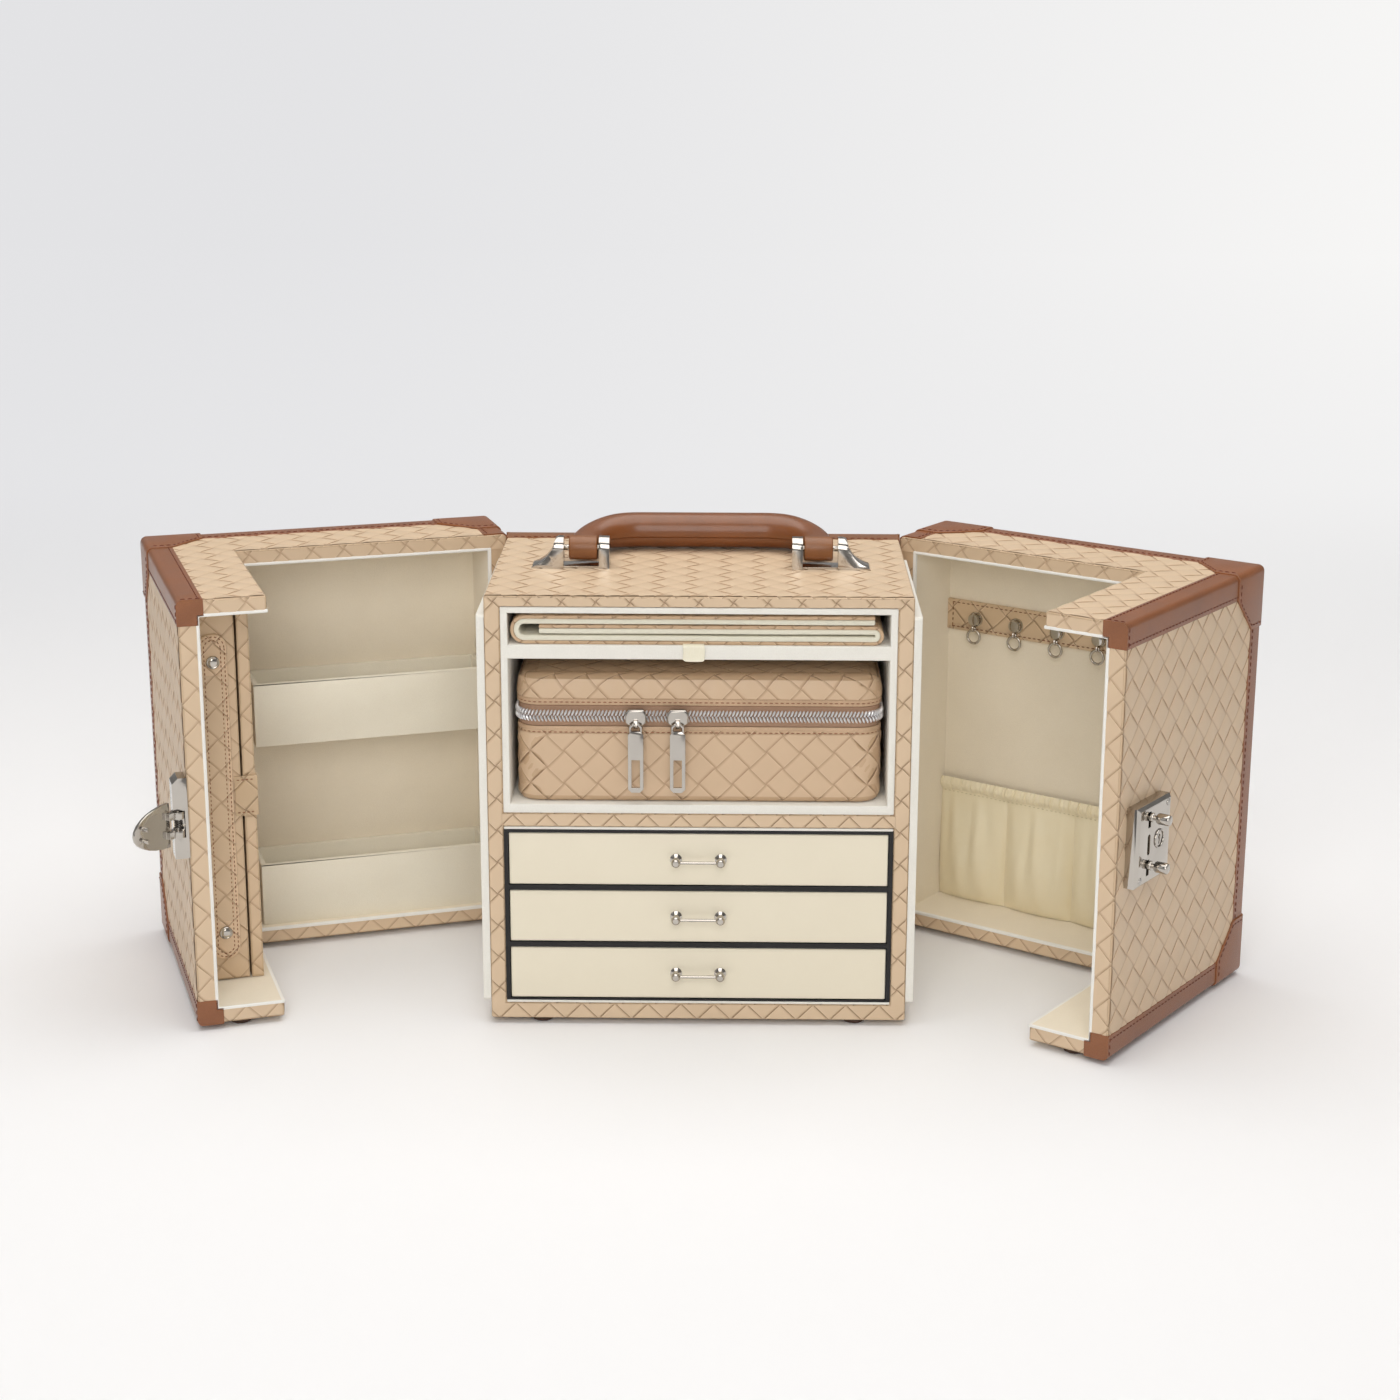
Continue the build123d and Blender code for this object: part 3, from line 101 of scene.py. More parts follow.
class Finish:
    """The shader nodes of one surface finish."""

    def __init__(self, name):
        self.material = bpy.data.materials.new(name)
        self.material.use_nodes = True
        self.tree = self.material.node_tree
        self.shader = self.tree.nodes["Principled BSDF"]

    def node(self, kind, settings=None, inputs=None):
        """Adds a node: its settings first, then the values or wires of its sockets."""
        made = self.tree.nodes.new("ShaderNode" + kind)
        for name, value in (settings or {}).items():
            setattr(made, name, value)
        for name, value in (inputs or {}).items():
            self.plug(made.inputs[name], value)
        return made

    def plug(self, socket, value):
        if isinstance(value, Wire):
            self.tree.links.new(value.socket, socket)
        else:
            socket.default_value = value

    def wire(self, kind, settings=None, inputs=None, out=0):
        return Wire(self, self.node(kind, settings, inputs).outputs[out])

    def maths(self, operation, *values):
        return self.wire("Math", {"operation": operation}, dict(enumerate(values)))

    def ramp(self, value, low, high, start=0.0, end=1.0):
        """A smooth rise from start to end while the value goes from low to high."""
        return self.wire("MapRange", {"interpolation_type": "SMOOTHSTEP"},
                         {"Value": value, "From Min": low, "From Max": high,
                          "To Min": start, "To Max": end})

    def mix(self, share, first, second):
        """A colour that is a share of the way from the first to the second."""
        return self.wire("Mix", {"data_type": "RGBA"}, {0: share, 6: first, 7: second}, 2)

    def here(self):
        """Where on the piece a point lies, in metres."""
        return self.wire("TexCoord", out="Object")

    def moved(self, vector, **sockets):
        """A place or a way after a turn, a shift or a stretch."""
        return self.wire("Mapping", {"vector_type": "POINT"}, {"Vector": vector, **sockets})

    def split(self, vector):
        """The three parts of a vector."""
        return [Wire(self, socket) for socket in self.node("SeparateXYZ", {}, {0: vector}).outputs]

    def noise(self, scale, detail, stretch=None):
        """Noise with so many grains to the metre, and more the way that it is stretched."""
        place = self.moved(self.here(), Scale=stretch) if stretch else self.here()
        return self.wire("TexNoise", {}, {"Vector": place, "Scale": scale, "Detail": detail})

    def bump(self, height, depth, strength=1.0, after=None):
        """The surface's normal over a relief whose height runs to so many metres."""
        sockets = {"Height": height, "Distance": depth, "Strength": strength}
        if after:
            sockets["Normal"] = after
        return self.wire("Bump", {}, sockets)

    def set(self, **sockets):
        """Sets the shader's sockets by name, with _ for a space."""
        for name, value in sockets.items():
            self.plug(self.shader.inputs[name.replace("_", " ").title().replace("Ior", "IOR")],
                      value)
        return self.material


def coat(thing, material):
    """Gives a piece or a CAD node one finish all over."""
    thing.data.materials.clear()
    thing.data.materials.append(material)
    return thing


def basic(kind, **settings):
    """One of the plain shapes, on its own."""
    bpy.ops.object.select_all(action="DESELECT")
    getattr(bpy.ops.mesh, f"primitive_{kind}_add")(**settings)
    return bpy.context.object


paper_sweep = basic("plane", size=9.0, location=(0, -0.6, -0.003))
paper_sweep.name = "paper_sweep"
bpy.ops.object.mode_set(mode="EDIT")
paper_mesh = bmesh.from_edit_mesh(paper_sweep.data)
for edge in paper_mesh.edges:
    edge.select_set(all(vert.co.y > 4 for vert in edge.verts))
bmesh.update_edit_mesh(paper_sweep.data)
bpy.ops.mesh.extrude_region_move(TRANSFORM_OT_translate={"value": (0, 0, 5.0)})
for edge in paper_mesh.edges:
    edge.select_set(all(vert.co.y > 4 and vert.co.z < 0.1 for vert in edge.verts))
bmesh.update_edit_mesh(paper_sweep.data)
bpy.ops.mesh.bevel(offset=2.2, segments=24)
bpy.ops.object.mode_set(mode="OBJECT")
bpy.ops.object.transform_apply()
bpy.ops.object.shade_smooth()
paper = Finish("studio_paper")
across_paper, up_paper = paper.split(paper.here())[:2]
# Painted light: seen straight from the camera, the upper sweep glows by its own emission instead of
# being lit, painted brighter towards the right.
backdrop = paper.wire("LightPath", out="Is Camera Ray") * paper.ramp(up_paper, 0.2, 1.5)
painted_backdrop_glow = paper.mix(paper.ramp(across_paper, -1.2, 2.6), rgb(227, 227, 229), rgb(253, 252, 250))
coat(paper_sweep, paper.set(
    base_color=paper.mix(backdrop, rgb(247, 247, 248), rgb(0, 0, 0)), roughness=0.9,
    specular_ior_level=0.1, emission_strength=1.0,
    emission_color=paper.mix(backdrop, rgb(0, 0, 0), painted_backdrop_glow)))

lamp_aim = Vector((0, 0, 0.1))
for lamp_name, lamp_place, lamp_width, lamp_power, lamp_colour in (
        ("overhead_lamp", (0.0, 0.1, 1.9), 2.2, 33.0, (1.0, 0.985, 0.96)),
        ("front_lamp", (-0.1, -2.3, 1.3), 1.6, 24.0, (1.0, 0.985, 0.96)),
        ("left_lamp", (-1.7, -1.2, 1.1), 1.1, 1.5, (1.0, 0.99, 0.98))):
    lamp = bpy.data.objects.new(lamp_name, bpy.data.lights.new(lamp_name, "AREA"))
    lamp.data.size = lamp_width
    lamp.data.energy = lamp_power
    lamp.data.color = lamp_colour
    lamp.location = lamp_place
    lamp.rotation_euler = (lamp_aim - lamp.location).to_track_quat("-Z", "Y").to_euler()
    bpy.context.scene.collection.objects.link(lamp)
room = bpy.data.worlds.new("room")
room.use_nodes = True
room_light = room.node_tree.nodes["Background"].inputs
room_light["Color"].default_value = (0.95, 0.96, 1.0, 1.0)
room_light["Strength"].default_value = 0.9
bpy.context.scene.world = room


# The cabinet
# A box of boards covered in woven leather: flat straps a dozen millimetres wide laid at
# forty-five degrees, over and under by turns, so each strap's end dips under its neighbour's side.
hinge_side = {"left": -1, "right": 1}
hinge_opened = {"left": radians(71.4), "right": radians(55.06)}


def swung(wing):
    """Carries a piece from the closed wing's place to where the wing stands open."""
    centre = Matrix.Translation((hinge_side[wing] * 0.110, 0.0765, 0))
    return centre @ Matrix.Rotation(hinge_side[wing] * hinge_opened[wing], 4, "Z") @ centre.inverted()


def closed_place(finish, wing):
    """Where a wing's point lies when the wing is shut, and the turn that takes it there."""
    back = swung(wing).inverted()
    turn = back.to_euler()
    return finish.moved(finish.here(), Rotation=turn, Location=back.translation), turn


def surface_place(finish, wing=None):
    """Two wires that run across any flat side of a piece, in metres, true to its own boards."""
    place = finish.here()
    facing = finish.wire("TexCoord", out="Normal")
    if wing:
        place, turn = closed_place(finish, wing)
        facing = finish.moved(facing, Rotation=turn)
    x, y, z = finish.split(place)
    face_x, face_y, face_z = [finish.maths("ABSOLUTE", part) for part in finish.split(facing)]
    on_top = finish.maths("GREATER_THAN", face_z, 0.6)
    on_side = finish.maths("GREATER_THAN", face_x, face_y) * (1 - on_top)
    across = x + on_side * (y - x)
    up = z + on_top * (y - z)
    return across, up


def weave(name, wing=None, strap=0.0124, tint=(212, 184, 151), place=None, shift=(0, 0)):
    """Woven leather: the straps, a painted shadow where each end dips under, a painted highlight along
    each strap's sides, and a fine grain.
    """
    finish = Finish(name)
    across, up = place(finish) if place else surface_place(finish, wing)
    across = across + shift[0]
    up = up + shift[1]
    lie_a = (across + up) * (1 / (strap * sqrt(2)))
    lie_b = (across - up) * (1 / (strap * sqrt(2)))
    cell_a = finish.maths("FLOOR", lie_a)
    cell_b = finish.maths("FLOOR", lie_b)
    within_a = lie_a - cell_a
    within_b = lie_b - cell_b
    turned_over = finish.maths("FLOORED_MODULO", cell_a + cell_b, 2.0)
    along = within_a + turned_over * (within_b - within_a)
    athwart = within_b + turned_over * (within_a - within_b)
    end = finish.maths("ABSOLUTE", along * 2 - 1)
    side = finish.maths("ABSOLUTE", athwart * 2 - 1)
    dip = finish.ramp(end, 0.80, 1.0)
    slope = finish.maths("POWER", end, 4.0)
    round_off = finish.ramp(side, 0.90, 1.0)
    relief = 1 - dip * 0.62 - slope * 0.3 - round_off * 0.10
    grain = finish.noise(1500, 4)
    swell = finish.noise(90, 2)
    strap_tone = finish.wire("TexWhiteNoise", {"noise_dimensions": "2D"},
                             {"Vector": finish.wire("CombineXYZ", {}, {0: cell_a, 1: cell_b})})
    red, green, blue = tint
    plain = finish.mix(strap_tone * 0.5 + swell * 0.4, rgb(red - 6, green - 6, blue - 7),
                       rgb(red + 5, green + 5, blue + 5))
    # Painted highlight: each strap is painted lighter near its side edges.
    painted_side_highlight = finish.mix(finish.ramp(side, 0.86, 0.97, 0.0, 0.5), plain,
                        rgb(red + 16, green + 18, blue + 20))
    # Painted shade: each strap is painted darker towards the ends that dip under, and darker still in a
    # thin painted crease shadow right at each end.
    painted_end_shade = finish.mix(finish.ramp(end, 0.80, 0.96, 0.0, 0.34), painted_side_highlight,
                        rgb(red * 0.72, green * 0.62, blue * 0.52))
    painted_crease_shade = finish.mix(finish.ramp(end, 0.955, 0.985, 0.0, 0.62), painted_end_shade,
                         rgb(red * 0.52, green * 0.40, blue * 0.30))
    embossed = finish.bump(grain, 0.00005, 0.45, finish.bump(relief, 0.0008, 1.0))
    return finish.set(base_color=painted_crease_shade, roughness=0.38 + grain * 0.14, normal=embossed,
                      coat_weight=0.10, coat_roughness=0.3)


felt_lip_back, felt_board_rim, felt_lip_end = -0.0782, 0.1122, 0.0010


def felt(name, tint, wing=None):
    """Wool felt: matt, with short tangled hairs; in a wing a painted highlight makes it near-white along
    the boards' edges.
    """
    finish = Finish(name)
    hairs = finish.noise(2600, 6, stretch=(1.0, 1.0, 0.6))
    cloud = finish.noise(45, 3)
    red, green, blue = tint
    tone = finish.mix(hairs * 0.65 + cloud * 0.35, rgb(red - 12, green - 12, blue - 14),
                      rgb(min(red + 7, 255), min(green + 9, 255), min(blue + 9, 255)))
    if wing:
        x, y = finish.split(closed_place(finish, wing)[0])[:2]
        x = x * hinge_side[wing]
        # Painted highlight: where the felt turns over the rims and free ends of a wing's boards, it is
        # painted near-white for the light those edges catch.
        on_rim = (finish.maths("GREATER_THAN", y, felt_lip_back)
                  * finish.maths("LESS_THAN", x, felt_board_rim))
        on_end = finish.maths("LESS_THAN", x, felt_lip_end)
        tone = finish.mix(finish.maths("MAXIMUM", on_end, on_rim), tone, rgb(250, 248, 242))
    return finish.set(base_color=tone, roughness=0.95, specular_ior_level=0.15,
                      normal=finish.bump(hairs, 0.00025, 0.8), sheen_weight=0.25,
                      sheen_roughness=0.5)


def leather(name, tint, gloss=0.34, pore_scale=900, shine=0.22):
    """Smooth dyed calf: fine pores, slight unevenness in the dye, and a waxed sheen."""
    finish = Finish(name)
    pores = finish.wire("TexVoronoi", {"feature": "DISTANCE_TO_EDGE"},
                        {"Vector": finish.here(), "Scale": pore_scale})
    cells = finish.ramp(pores, 0.0, 0.12)
    cloud = finish.noise(60, 4)
    red, green, blue = tint
    tone = finish.mix(cloud, rgb(red * 0.86, green * 0.84, blue * 0.82),
                      rgb(red * 1.12, green * 1.12, blue * 1.14))
    tone = finish.mix(cells * 0.25 + 0.75, rgb(red * 0.7, green * 0.66, blue * 0.62), tone)
    return finish.set(base_color=tone, roughness=gloss + cloud * 0.14, coat_weight=shine,
                      coat_roughness=0.2, normal=finish.bump(cells, 0.00005, 0.5))


def sewing(name, tint):
    """Waxed thread, a little duller than calf."""
    return leather(name, tint, 0.6, 3000, 0.0)


def metal(name, tint, gloss, brushed=0.00002, share=1.0):
    """Plated metal: bright, with the faint marks of handling and polishing."""
    finish = Finish(name)
    marks = finish.noise(700, 5, stretch=(1.0, 1.0, 5.0))
    cloud = finish.noise(70, 3)
    return finish.set(base_color=finish.mix(cloud, rgb(*tint), rgb(*[v * 0.93 for v in tint])),
                      metallic=share, roughness=gloss + marks * 0.1,
                      normal=finish.bump(marks, brushed, 0.4))


def grained(name, grain, dark, light, rough, relief, strength=1.0, cloud=None, **sockets):
    """A finish whose grain shows in its colour, its roughness and its relief."""
    finish = Finish(name)
    marks = finish.noise(*grain)
    tone = marks
    if cloud:
        scale, detail, share = cloud
        tone = finish.noise(scale, detail) * share + marks * (1 - share)
    return finish.set(base_color=finish.mix(tone, rgb(*dark), rgb(*light)),
                      roughness=rough[0] + marks * rough[1],
                      normal=finish.bump(marks, relief, strength), **sockets)


def soften(node, width, segments=3):
    """Eases a CAD node's edges, and shades what curves as a curve."""
    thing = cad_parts[node]
    weld = thing.modifiers.new("weld", "WELD")
    weld.merge_threshold = 0.000005
    ease = thing.modifiers.new("ease", "BEVEL")
    ease.width = width
    ease.segments = segments
    ease.limit_method = "ANGLE"
    ease.angle_limit = radians(40)
    ease.harden_normals = True
    for face in thing.data.polygons:
        face.use_smooth = True
    return thing


def dressed(width, material, *nodes, segments=3):
    """Eases several CAD nodes and gives them one finish."""
    for node in nodes:
        coat(soften(node, width, segments), material)


def alone(thing):
    """Selects one piece and nothing else."""
    bpy.ops.object.select_all(action="DESELECT")
    thing.select_set(True)
    bpy.context.view_layer.objects.active = thing
    return thing


def meshed(name, corners, faces, edges=()):
    """A new piece from its corners, in metres, and its faces."""
    mesh = bpy.data.meshes.new(name)
    mesh.from_pydata(corners, edges, faces)
    thing = bpy.data.objects.new(name, mesh)
    bpy.context.scene.collection.objects.link(thing)
    return alone(thing)


def grid(rows, columns, first=0):
    """The faces of a sheet whose corners come row by row."""
    return [(at, at + 1, at + columns + 1, at + columns) for row in range(rows - 1)
            for at in range(first + row * columns, first + (row + 1) * columns - 1)]


def changed(thing, kind, **settings):
    """Puts a piece through one modifier."""
    alone(thing)
    change = thing.modifiers.new(kind.lower(), kind)
    for name, value in settings.items():
        setattr(change, name, value)
    bpy.ops.object.modifier_apply(modifier=change.name)
    return thing


def pick(thing, kind, wanted):
    """In edit mode, selects the verts, edges or faces whose middle meets a test."""
    made = bmesh.from_edit_mesh(thing.data)
    for part in (*made.verts, *made.edges, *made.faces):
        part.select = False
    for part in getattr(made, kind):
        corners = [part] if kind == "verts" else part.verts
        middle = sum((corner.co for corner in corners), Vector()) / len(corners)
        if wanted(part, middle):
            part.select_set(True)
    made.select_flush_mode()
    bmesh.update_edit_mesh(thing.data)


def block(low, high, ease=0.0, segments=3, wanted=None):
    """A block between two corners, in millimetres, its edges (or the wanted ones) rounded."""
    low, high = Vector(low) / 1000, Vector(high) / 1000
    thing = basic("cube", size=1, location=(low + high) / 2, scale=high - low)
    bpy.ops.object.transform_apply()
    if ease:
        bpy.ops.object.mode_set(mode="EDIT")
        bpy.ops.mesh.select_mode(type="EDGE")
        pick(thing, "edges", wanted or (lambda edge, middle: True))
        bpy.ops.mesh.bevel(offset=ease / 1000, segments=segments)
        bpy.ops.object.mode_set(mode="OBJECT")
    return thing


def joined(pieces):
    """Several meshes as one piece."""
    alone(pieces[0])
    for piece in pieces:
        piece.select_set(True)
    bpy.ops.object.join()
    return pieces[0]


def settled(thing, turn=None, angle=35, outwards=True):
    """Puts a piece's place into its mesh, turns its faces outwards and shades its curves."""
    thing.data.transform((turn or Matrix()) @ thing.matrix_world)
    thing.matrix_world = Matrix()
    alone(thing)
    bpy.ops.object.mode_set(mode="EDIT")
    bpy.ops.mesh.select_mode(type="VERT")
    bpy.ops.mesh.select_all(action="SELECT")
    bpy.ops.mesh.remove_doubles(threshold=0.000002)
    if outwards:
        bpy.ops.mesh.normals_make_consistent(inside=False)
    bpy.ops.object.mode_set(mode="OBJECT")
    bpy.ops.object.shade_smooth_by_angle(angle=radians(angle))
    return thing


def kept(thing, name, body, slot, material, *nodes):
    """Names a finished piece, gives it its finish and its body, and hides the CAD nodes it stands for.
    """
    thing.name = name
    coat(thing, material)
    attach(thing, body)
    if nodes:
        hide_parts(*nodes)
    return thing


def many(name, pattern, places):
    """One small shape set down at many places, each a matrix, as one mesh."""
    spots = np.empty(len(pattern.data.vertices) * 3)
    pattern.data.vertices.foreach_get("co", spots)
    spots = spots.reshape(-1, 3)
    faces = [tuple(face.vertices) for face in pattern.data.polygons]
    corners, rings = [], []
    for number, place in enumerate(places):
        turn = np.array(place)
        corners.append(spots @ turn[:3, :3].T + turn[:3, 3])
        order = 1 if np.linalg.det(turn[:3, :3]) > 0 else -1
        rings.extend(tuple(index + number * len(spots) for index in face[::order])
                     for face in faces)
    bpy.data.objects.remove(pattern)
    return meshed(name, np.concatenate(corners).tolist(), rings)


def stitches(rows, turn, length=2.5, gap=1.2, thick=0.7):
    """Rows of thread in one mesh: each row is its points, in millimetres, and its outward way."""
    pattern = basic("uv_sphere", segments=6, ring_count=5, radius=0.5)
    pattern.data.transform(Matrix.Diagonal((thick / 1000, thick / 1000, length / 1000, 1)))
    places = []
    for points, outward in rows:
        points = [Vector(point) / 1000 for point in points]
        outward = Vector(outward).normalized()
        spare = 0.0
        for start, end in zip(points, points[1:]):
            run = end - start
            way = run.normalized()
            at = spare + length / 2000
            while at <= run.length:
                spot = start + way * at + outward * 0.0001
                axes = Matrix((outward.cross(way), outward, way)).transposed().to_4x4()
                places.append(turn @ Matrix.Translation(spot) @ axes)
                at += (length + gap) / 1000
            spare = at - length / 2000 - run.length
    thread = many("thread", pattern, places)
    bpy.ops.object.shade_smooth()
    return thread


def carved_weave(name, tint=(213, 184, 151)):
    """The straps' finish where they are modelled one by one: painted shade where they dip under and
    along their sides, and a painted highlight beside their side edges.
    """
    finish = Finish(name)
    along, athwart = finish.split(finish.wire("UVMap", {"uv_map": "lie"}))[:2]
    grain = finish.noise(1500, 4)
    swell = finish.noise(80, 2)
    red, green, blue = tint
    plain = finish.mix(swell, rgb(red - 9, green - 9, blue - 10), rgb(red + 6, green + 6, blue + 6))
    # Painted highlight: lighter near each strap's side edges. Painted shade: darker towards its ends
    # where they dip under, and in a thin dark line right at its sides.
    painted_side_highlight = finish.mix(finish.ramp(athwart, 0.82, 0.94, 0.0, 0.75), plain,
                        rgb(min(red + 18, 255), min(green + 22, 255), blue + 24))
    painted_dip_shade = finish.mix(finish.ramp(along, 0.72, 1.0, 0.0, 0.42), painted_side_highlight,
                        rgb(red * 0.74, green * 0.63, blue * 0.52))
    painted_side_shade = finish.mix(finish.ramp(athwart, 0.975, 0.995, 0.0, 0.55), painted_dip_shade,
                       rgb(red * 0.66, green * 0.53, blue * 0.42))
    return finish.set(base_color=painted_side_shade, roughness=0.38 + grain * 0.14, coat_weight=0.10,
                      coat_roughness=0.3, normal=finish.bump(grain, 0.00005, 0.45))


def flat_side(axis, at, outward):
    """Where a panel's point lies on a board's side: its across, its up and its height over it."""
    def place(across, up, height):
        level = at + outward * height
        return ((level, across, up), (across, level, up), (across, up, level))[axis]
    return place


def woven_panel(across_span, up_span, place, lift=0.5, strap=12.4, shift=(0, 0)):
    """Straps over and under, cut to a rectangle in millimetres and laid where place says."""
    half = strap / sqrt(2)
    lengthwise = ((-1, 0), (-0.86, 0.32), (-0.6, 0.8), (0, 1), (0.6, 0.8), (0.86, 0.32), (1, 0))
    crosswise = ((-1, 0), (-0.985, 0.78), (-0.9, 1), (0.9, 1), (0.985, 0.78), (1, 0))
    low_across, high_across = [value + shift[0] for value in across_span]
    low_up, high_up = [value + shift[1] for value in up_span]
    corners, faces, lies = [], [], []
    whole = 2 * half
    for i in range(floor((low_across + low_up) / whole), ceil((high_across + high_up) / whole)):
        for j in range(floor((low_across - high_up) / whole), ceil((high_across - low_up) / whole)):
            middle_across, middle_up = (i + j + 1) * half, (i - j) * half
            if not (low_across - half < middle_across < high_across + half
                    and low_up - half < middle_up < high_up + half):
                continue
            upright = (i + j) % 2 == 0
            quads = grid(len(lengthwise), len(crosswise), len(corners))
            faces.extend(quad if upright else quad[::-1] for quad in quads)
            for along, dip in lengthwise:
                for athwart, rise in crosswise:
                    pair = ((along + 1) / 2, (athwart + 1) / 2)
                    over_a, over_b = pair if upright else pair[::-1]
                    corners.append(((i + over_a + j + over_b) * half - shift[0],
                                    (i + over_a - j - over_b) * half - shift[1], dip * rise * lift))
                    lies.append((abs(along), abs(athwart)))
    panel = meshed("straps", corners, faces)
    mesh = panel.data
    lie = mesh.uv_layers.new(name="lie")
    for loop in mesh.loops:
        lie.data[loop.index].uv = lies[loop.vertex_index]
    if sum(face.normal.z for face in mesh.polygons) < 0:
        mesh.flip_normals()
    bpy.ops.object.mode_set(mode="EDIT")
    low_corner, high_corner = [(across, up, 0) for across, up in zip(across_span, up_span)]
    for corner, way in ((low_corner, (-1, 0, 0)), (high_corner, (1, 0, 0)),
                        (low_corner, (0, -1, 0)), (high_corner, (0, 1, 0))):
        bpy.ops.mesh.select_all(action="SELECT")
        bpy.ops.mesh.bisect(plane_co=corner, plane_no=way, clear_outer=True)
    bpy.ops.object.mode_set(mode="OBJECT")
    centre = (sum(across_span) / 2, sum(up_span) / 2, 0)
    here = Vector(place(*centre))
    steps = []
    for way in range(3):
        beside = [value + (number == way) * 0.01 for number, value in enumerate(centre)]
        steps.append(Vector(place(*beside)) - here)
    for vert in mesh.vertices:
        vert.co = Vector(place(*vert.co)) / 1000
    if steps[0].cross(steps[1]).dot(steps[2]) < 0:
        mesh.flip_normals()
    return panel


def woven(name, body, material, panels, turn=None):
    """Panels of straps as one piece."""
    straps = settled(joined([woven_panel(*panel) for panel in panels]), turn, 40, False)
    return kept(straps, name, body, "woven_leather", material)


cabinet_weave = weave("cabinet_woven_leather")
cabinet_panels = [((-109.2, 109.2), (-74.9, 63.0), flat_side(2, 231.0, 1)),
                  ((-97.0, 97.0), (1.0, 218.0), flat_side(1, 76.0, 1))]
cabinet_panels += [(across, up, flat_side(1, -75.92, -1), 0.33) for across, up in (
    ((-102.6, 102.6), (225.8, 230.2)), ((-102.6, 102.6), (0.8, 8.4)), ((-102.4, 102.4), (108.2, 114.3)),
    ((-109.3, -102.6), (0.8, 230.2)), ((102.6, 109.3), (0.8, 230.2)))]
woven("cabinet_straps", "cabinet", carved_weave("cabinet_straps"), cabinet_panels)
white_felt = felt("white_felt", (248, 244, 236))
calf = leather("brown_calf", (142, 90, 48))
thread = sewing("brown_thread", (112, 54, 36))
nickel = metal("polished_nickel", (198, 192, 184), 0.07)
dressed(0.0010, cabinet_weave, "cabinet_shell")
dressed(0.0008, cabinet_weave, "lower_shelf")
dressed(0.0006, white_felt, "compartment_liner")
dressed(0.0012, white_felt, "side_felts")

# The drawer housing
# A black card sleeve glued in under the lower shelf, seen as dark lines round the drawer fronts.
coat(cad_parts["drawer_housing"],
     grained("black_board", (1200, 4), (16, 15, 16), (34, 32, 32), (0.55, 0.2), 0.00005))

# The rear binding and its hinges
# Brown calf folded over the cabinet's top rear edge and down both rear corners, where it is the
# leather hinge of the wings; one row of stitches holds it along the top.
dressed(0.0004, calf, "rear_leather")
rear_low, rear_high = [corner * 1000 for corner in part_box("rear_leather")]
rear_row_y = rear_low.y + 2.0
rear_row = [(-106, rear_row_y, rear_high.z), (106, rear_row_y, rear_high.z)]
kept(stitches([(rear_row, (0, 0, 1))], Matrix()), "rear_binding_thread", "cabinet", "brown_leather",
     thread)

# The bumper feet
# Low moulded feet in dark brown plastic, pressed in under the cabinet and both wings.
dressed(0.0005, grained("brown_feet", (900, 4), (58, 38, 28), (80, 54, 40), (0.5, 0.2), 0.00005),
        "cabinet_feet", "left_wing_feet", "right_wing_feet")

# The handle
# A stuffed roll of brown calf on a bowed core, sewn along its inner side, held by flat loops that
# turn on pins between two pairs of cast nickel ears.
dressed(0.0003, nickel, "handle_bracket_left", "handle_bracket_right", "handle_pins")
dressed(0.0008, calf, "handle_loops")

pin_height = 241.5
leg_x, leg_y, bar_y, bend_radius = 62.6, 1.0, 38.0, 30.0
leg_run = bar_y - bend_radius - leg_y
bend_run = pi / 2 * bend_radius
bar_run = 2 * (leg_x - bend_radius)
whole_run = 2 * (leg_run + bend_run) + bar_run


def grip_line(run):
    """A point on the bowed core after a run along it, and the way to its outer side."""
    mirrored = run > whole_run / 2
    side = 1 if mirrored else -1
    run = whole_run - run if mirrored else run
    if run < leg_run:
        return Vector((side * leg_x, leg_y + run, 0)), Vector((side, 0, 0))
    bend_x, bend_y = leg_x - bend_radius, bar_y - bend_radius
    if run < leg_run + bend_run:
        turn = (run - leg_run) / bend_radius
        return (Vector((side * (bend_x + bend_radius * cos(turn)), bend_y + bend_radius * sin(turn), 0)),
                Vector((side * cos(turn), sin(turn), 0)))
    return Vector((side * (bend_x - (run - leg_run - bend_run)), bar_y, 0)), Vector((0, 1, 0))


def fading(amount):
    """A share that falls off towards nothing as an amount grows."""
    return 2.718 ** -amount


grip = basic("cylinder", vertices=40, radius=1, depth=1)
bpy.ops.object.mode_set(mode="EDIT")
bpy.ops.mesh.select_mode(type="EDGE")
pick(grip, "edges", lambda edge, middle: abs(edge.verts[0].co.z - edge.verts[1].co.z) > 0.5)
bpy.ops.mesh.subdivide(number_cuts=70)
bpy.ops.object.mode_set(mode="OBJECT")
end_thick, end_wide, middle_radius, end_share = 4.0, 7.6, 9.9, 0.26
for vert in grip.data.vertices:
    share = vert.co.z + 0.5
    rise = min(1, min(share, 1 - share) / end_share)
    swell = rise * rise * (3 - 2 * rise)
    thick = end_thick + (middle_radius - end_thick) * swell
    wide = end_wide + (middle_radius - end_wide) * swell
    turn = atan2(vert.co.y, -vert.co.x)
    seam = (turn + 0.30) / 0.075
    under = 0.07 * swell / (1 + fading(-min(30, (turn + 0.34) / 0.05))) * (turn > -1.9)
    shrink = 1 - 0.10 * swell * fading(seam * seam) - under
    centre, outward = grip_line(share * whole_run)
    vert.co = (centre - outward * wide * cos(turn) * shrink
               + Vector((0, 0, pin_height + thick * sin(turn) * shrink))) / 1000
glossy_calf = leather("handle_calf", (132, 76, 32), 0.26, 1100, 0.4)
kept(settled(grip), "handle_roll", "handle", "brown_leather", glossy_calf, "handle_grip")

